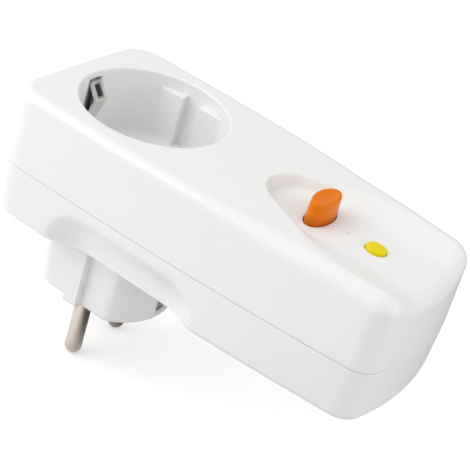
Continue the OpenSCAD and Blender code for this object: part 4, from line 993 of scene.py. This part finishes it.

# %% [markdown]
# ## Floor
# The adapter stands on its pins on a white paper sweep. The floor adds a little light of its own
# where the camera, a reflection or glass looks at it, so that it reads as white and still shows
# the shadow. For reflections only, it has a painted dark reflection to the right of the pins, as a dark
# card laid beside a shiny object would give: that gives the metal a painted dark edge.

# %% Floor
FLOOR_LEVEL_MM, FLOOR_HALF_M, FLOOR_GLOW = -19.1, 3.0, 0.36
# Painted dark reflection: seen only in reflections, the floor darkens along this way to this tone, in place
# of a dark card.
DARK_REFLECTION_WAY, DARK_REFLECTION_FROM_MM, DARK_REFLECTION_TO_MM, DARK_REFLECTION_TONE = (0.857, 0.515, 0), -14.0, 12.0, 0.12
PAPER, WHITE = linear("#E6E6E6"), linear("#FFFFFF")
floor_mesh = bpy.data.meshes.new("studio_floor")
corners = [(-1, -1), (1, -1), (1, 1), (-1, 1)]
floor_mesh.from_pydata([(x * FLOOR_HALF_M, y * FLOOR_HALF_M, FLOOR_LEVEL_MM * MM) for x, y in corners], [],
                       [(0, 1, 2, 3)])
studio_floor = into_scene("studio_floor", floor_mesh)
paper = bpy.data.materials.new("white paper sweep")
tree = empty_tree(paper)
path = add(tree, "LightPath")
place = add(tree, "TexCoord")
# Distance along the painted dark reflection's way: 0 before it, a painted darkening on it.
across = add(tree, "VectorMath", {1: DARK_REFLECTION_WAY}, {0: (place, "Object")}, operation="DOT_PRODUCT")
painted_dark_reflection = add(tree, "MapRange", {"From Min": DARK_REFLECTION_FROM_MM * MM, "From Max": DARK_REFLECTION_TO_MM * MM,
                              "To Max": DARK_REFLECTION_TONE - 1}, {"Value": (across, "Value")})
dimmed = add(tree, "Math", {2: 1.0}, {0: (path, "Is Glossy Ray"), 1: (painted_dark_reflection, "Result")},
             operation="MULTIPLY_ADD")
# The glow shows to camera, glass and reflections, and the painted dark reflection dims it.
seen = add(tree, "Math", None, {0: (path, "Is Camera Ray"), 1: (path, "Is Transmission Ray")},
           operation="MAXIMUM")
seen = add(tree, "Math", None, {0: (path, "Is Glossy Ray"), 1: (seen, 0)}, operation="MAXIMUM")
shown = add(tree, "Math", None, {0: (seen, 0), 1: (dimmed, 0)}, operation="MULTIPLY")
glow_level = add(tree, "Math", {1: FLOOR_GLOW}, {0: (shown, 0)}, operation="MULTIPLY")
tone = add(tree, "VectorMath", {0: PAPER[:3]}, {"Scale": (dimmed, 0)}, operation="SCALE")
matt = add(tree, "BsdfDiffuse", None, {"Color": (tone, 0)})
glow = add(tree, "Emission", {"Color": WHITE}, {"Strength": (glow_level, 0)})
both = add(tree, "AddShader", None, {0: (matt, 0), 1: (glow, 0)})
add(tree, "OutputMaterial", None, {"Surface": (both, 0)})
floor_mesh.materials.append(paper)
print("floor at", FLOOR_LEVEL_MM, "mm")

# %% [markdown]
# ## Lights
# A big soft light stands at the left front, a weak one above and a fill at the right, all turned
# to the middle of the adapter. Square area lights draw soft shadows, as softboxes do, where a sun
# would draw hard ones.

# %% Lights
LIGHT_TARGET = Vector((0.03, 0, 0.04))
# Place and side length in metres, power in watts.
SOFTBOXES = {"left_front_softbox": ((-0.42, -0.42, 0.40), 0.6, 2.5),
             "top_softbox": ((-0.28, 0.02, 0.55), 0.5, 0.2),
             "right_fill": ((0.50, 0.10, 0.20), 0.4, 0.72)}
for name, (at, size, watts) in SOFTBOXES.items():
    light = bpy.data.lights.new(name, "AREA")
    light.size = size
    light.energy = watts
    lamp = into_scene(name, light)
    lamp.location = at
    lamp.rotation_euler = (LIGHT_TARGET - lamp.location).to_track_quat("-Z", "Y").to_euler()
print("lights:", list(SOFTBOXES))

# %% [markdown]
# ## Surroundings
# To the camera and through glass the surroundings are plain white. As light they are brighter
# overhead, like a tent. Reflections see a bright left front that falls off towards the other
# side, so that glossy plastic and metal keep their form.

# %% Surroundings
AMBIENT_LOW, AMBIENT_HIGH, CAMERA_WHITE = 0.40, 0.84, 1.0
BRIGHT_WAY = (-0.64, -0.72, 0.26)
BRIGHT_RANGE = {"From Min": -0.9, "From Max": 0.7, "To Min": 0.22, "To Max": 1.0}
world = bpy.data.worlds.new("even surroundings")
scene.world = world
tree = empty_tree(world)
path = add(tree, "LightPath")
way = add(tree, "TexCoord")
facing = add(tree, "VectorMath", {1: BRIGHT_WAY}, {0: (way, "Generated")}, operation="DOT_PRODUCT")
mirrored = add(tree, "MapRange", BRIGHT_RANGE, {"Value": (facing, "Value")})
height = add(tree, "SeparateXYZ", None, {0: (way, "Generated")})
tent = add(tree, "MapRange", {"To Min": AMBIENT_LOW, "To Max": AMBIENT_HIGH}, {"Value": (height, "Z")})
lit = add(tree, "MapRange", None, {"Value": (path, "Is Glossy Ray"), "To Min": (tent, "Result"),
                                   "To Max": (mirrored, "Result")})
seen = add(tree, "Math", None, {0: (path, "Is Camera Ray"), 1: (path, "Is Transmission Ray")},
           operation="MAXIMUM")
level = add(tree, "MapRange", {"To Max": CAMERA_WHITE}, {"Value": (seen, 0), "To Min": (lit, "Result")})
sky = add(tree, "Background", {"Color": WHITE}, {"Strength": (level, "Result")})
add(tree, "OutputWorld", None, {"Surface": (sky, "Background")})
scene.view_settings.view_transform = "Standard"
print("surroundings:", AMBIENT_LOW, "low down,", AMBIENT_HIGH, "overhead")
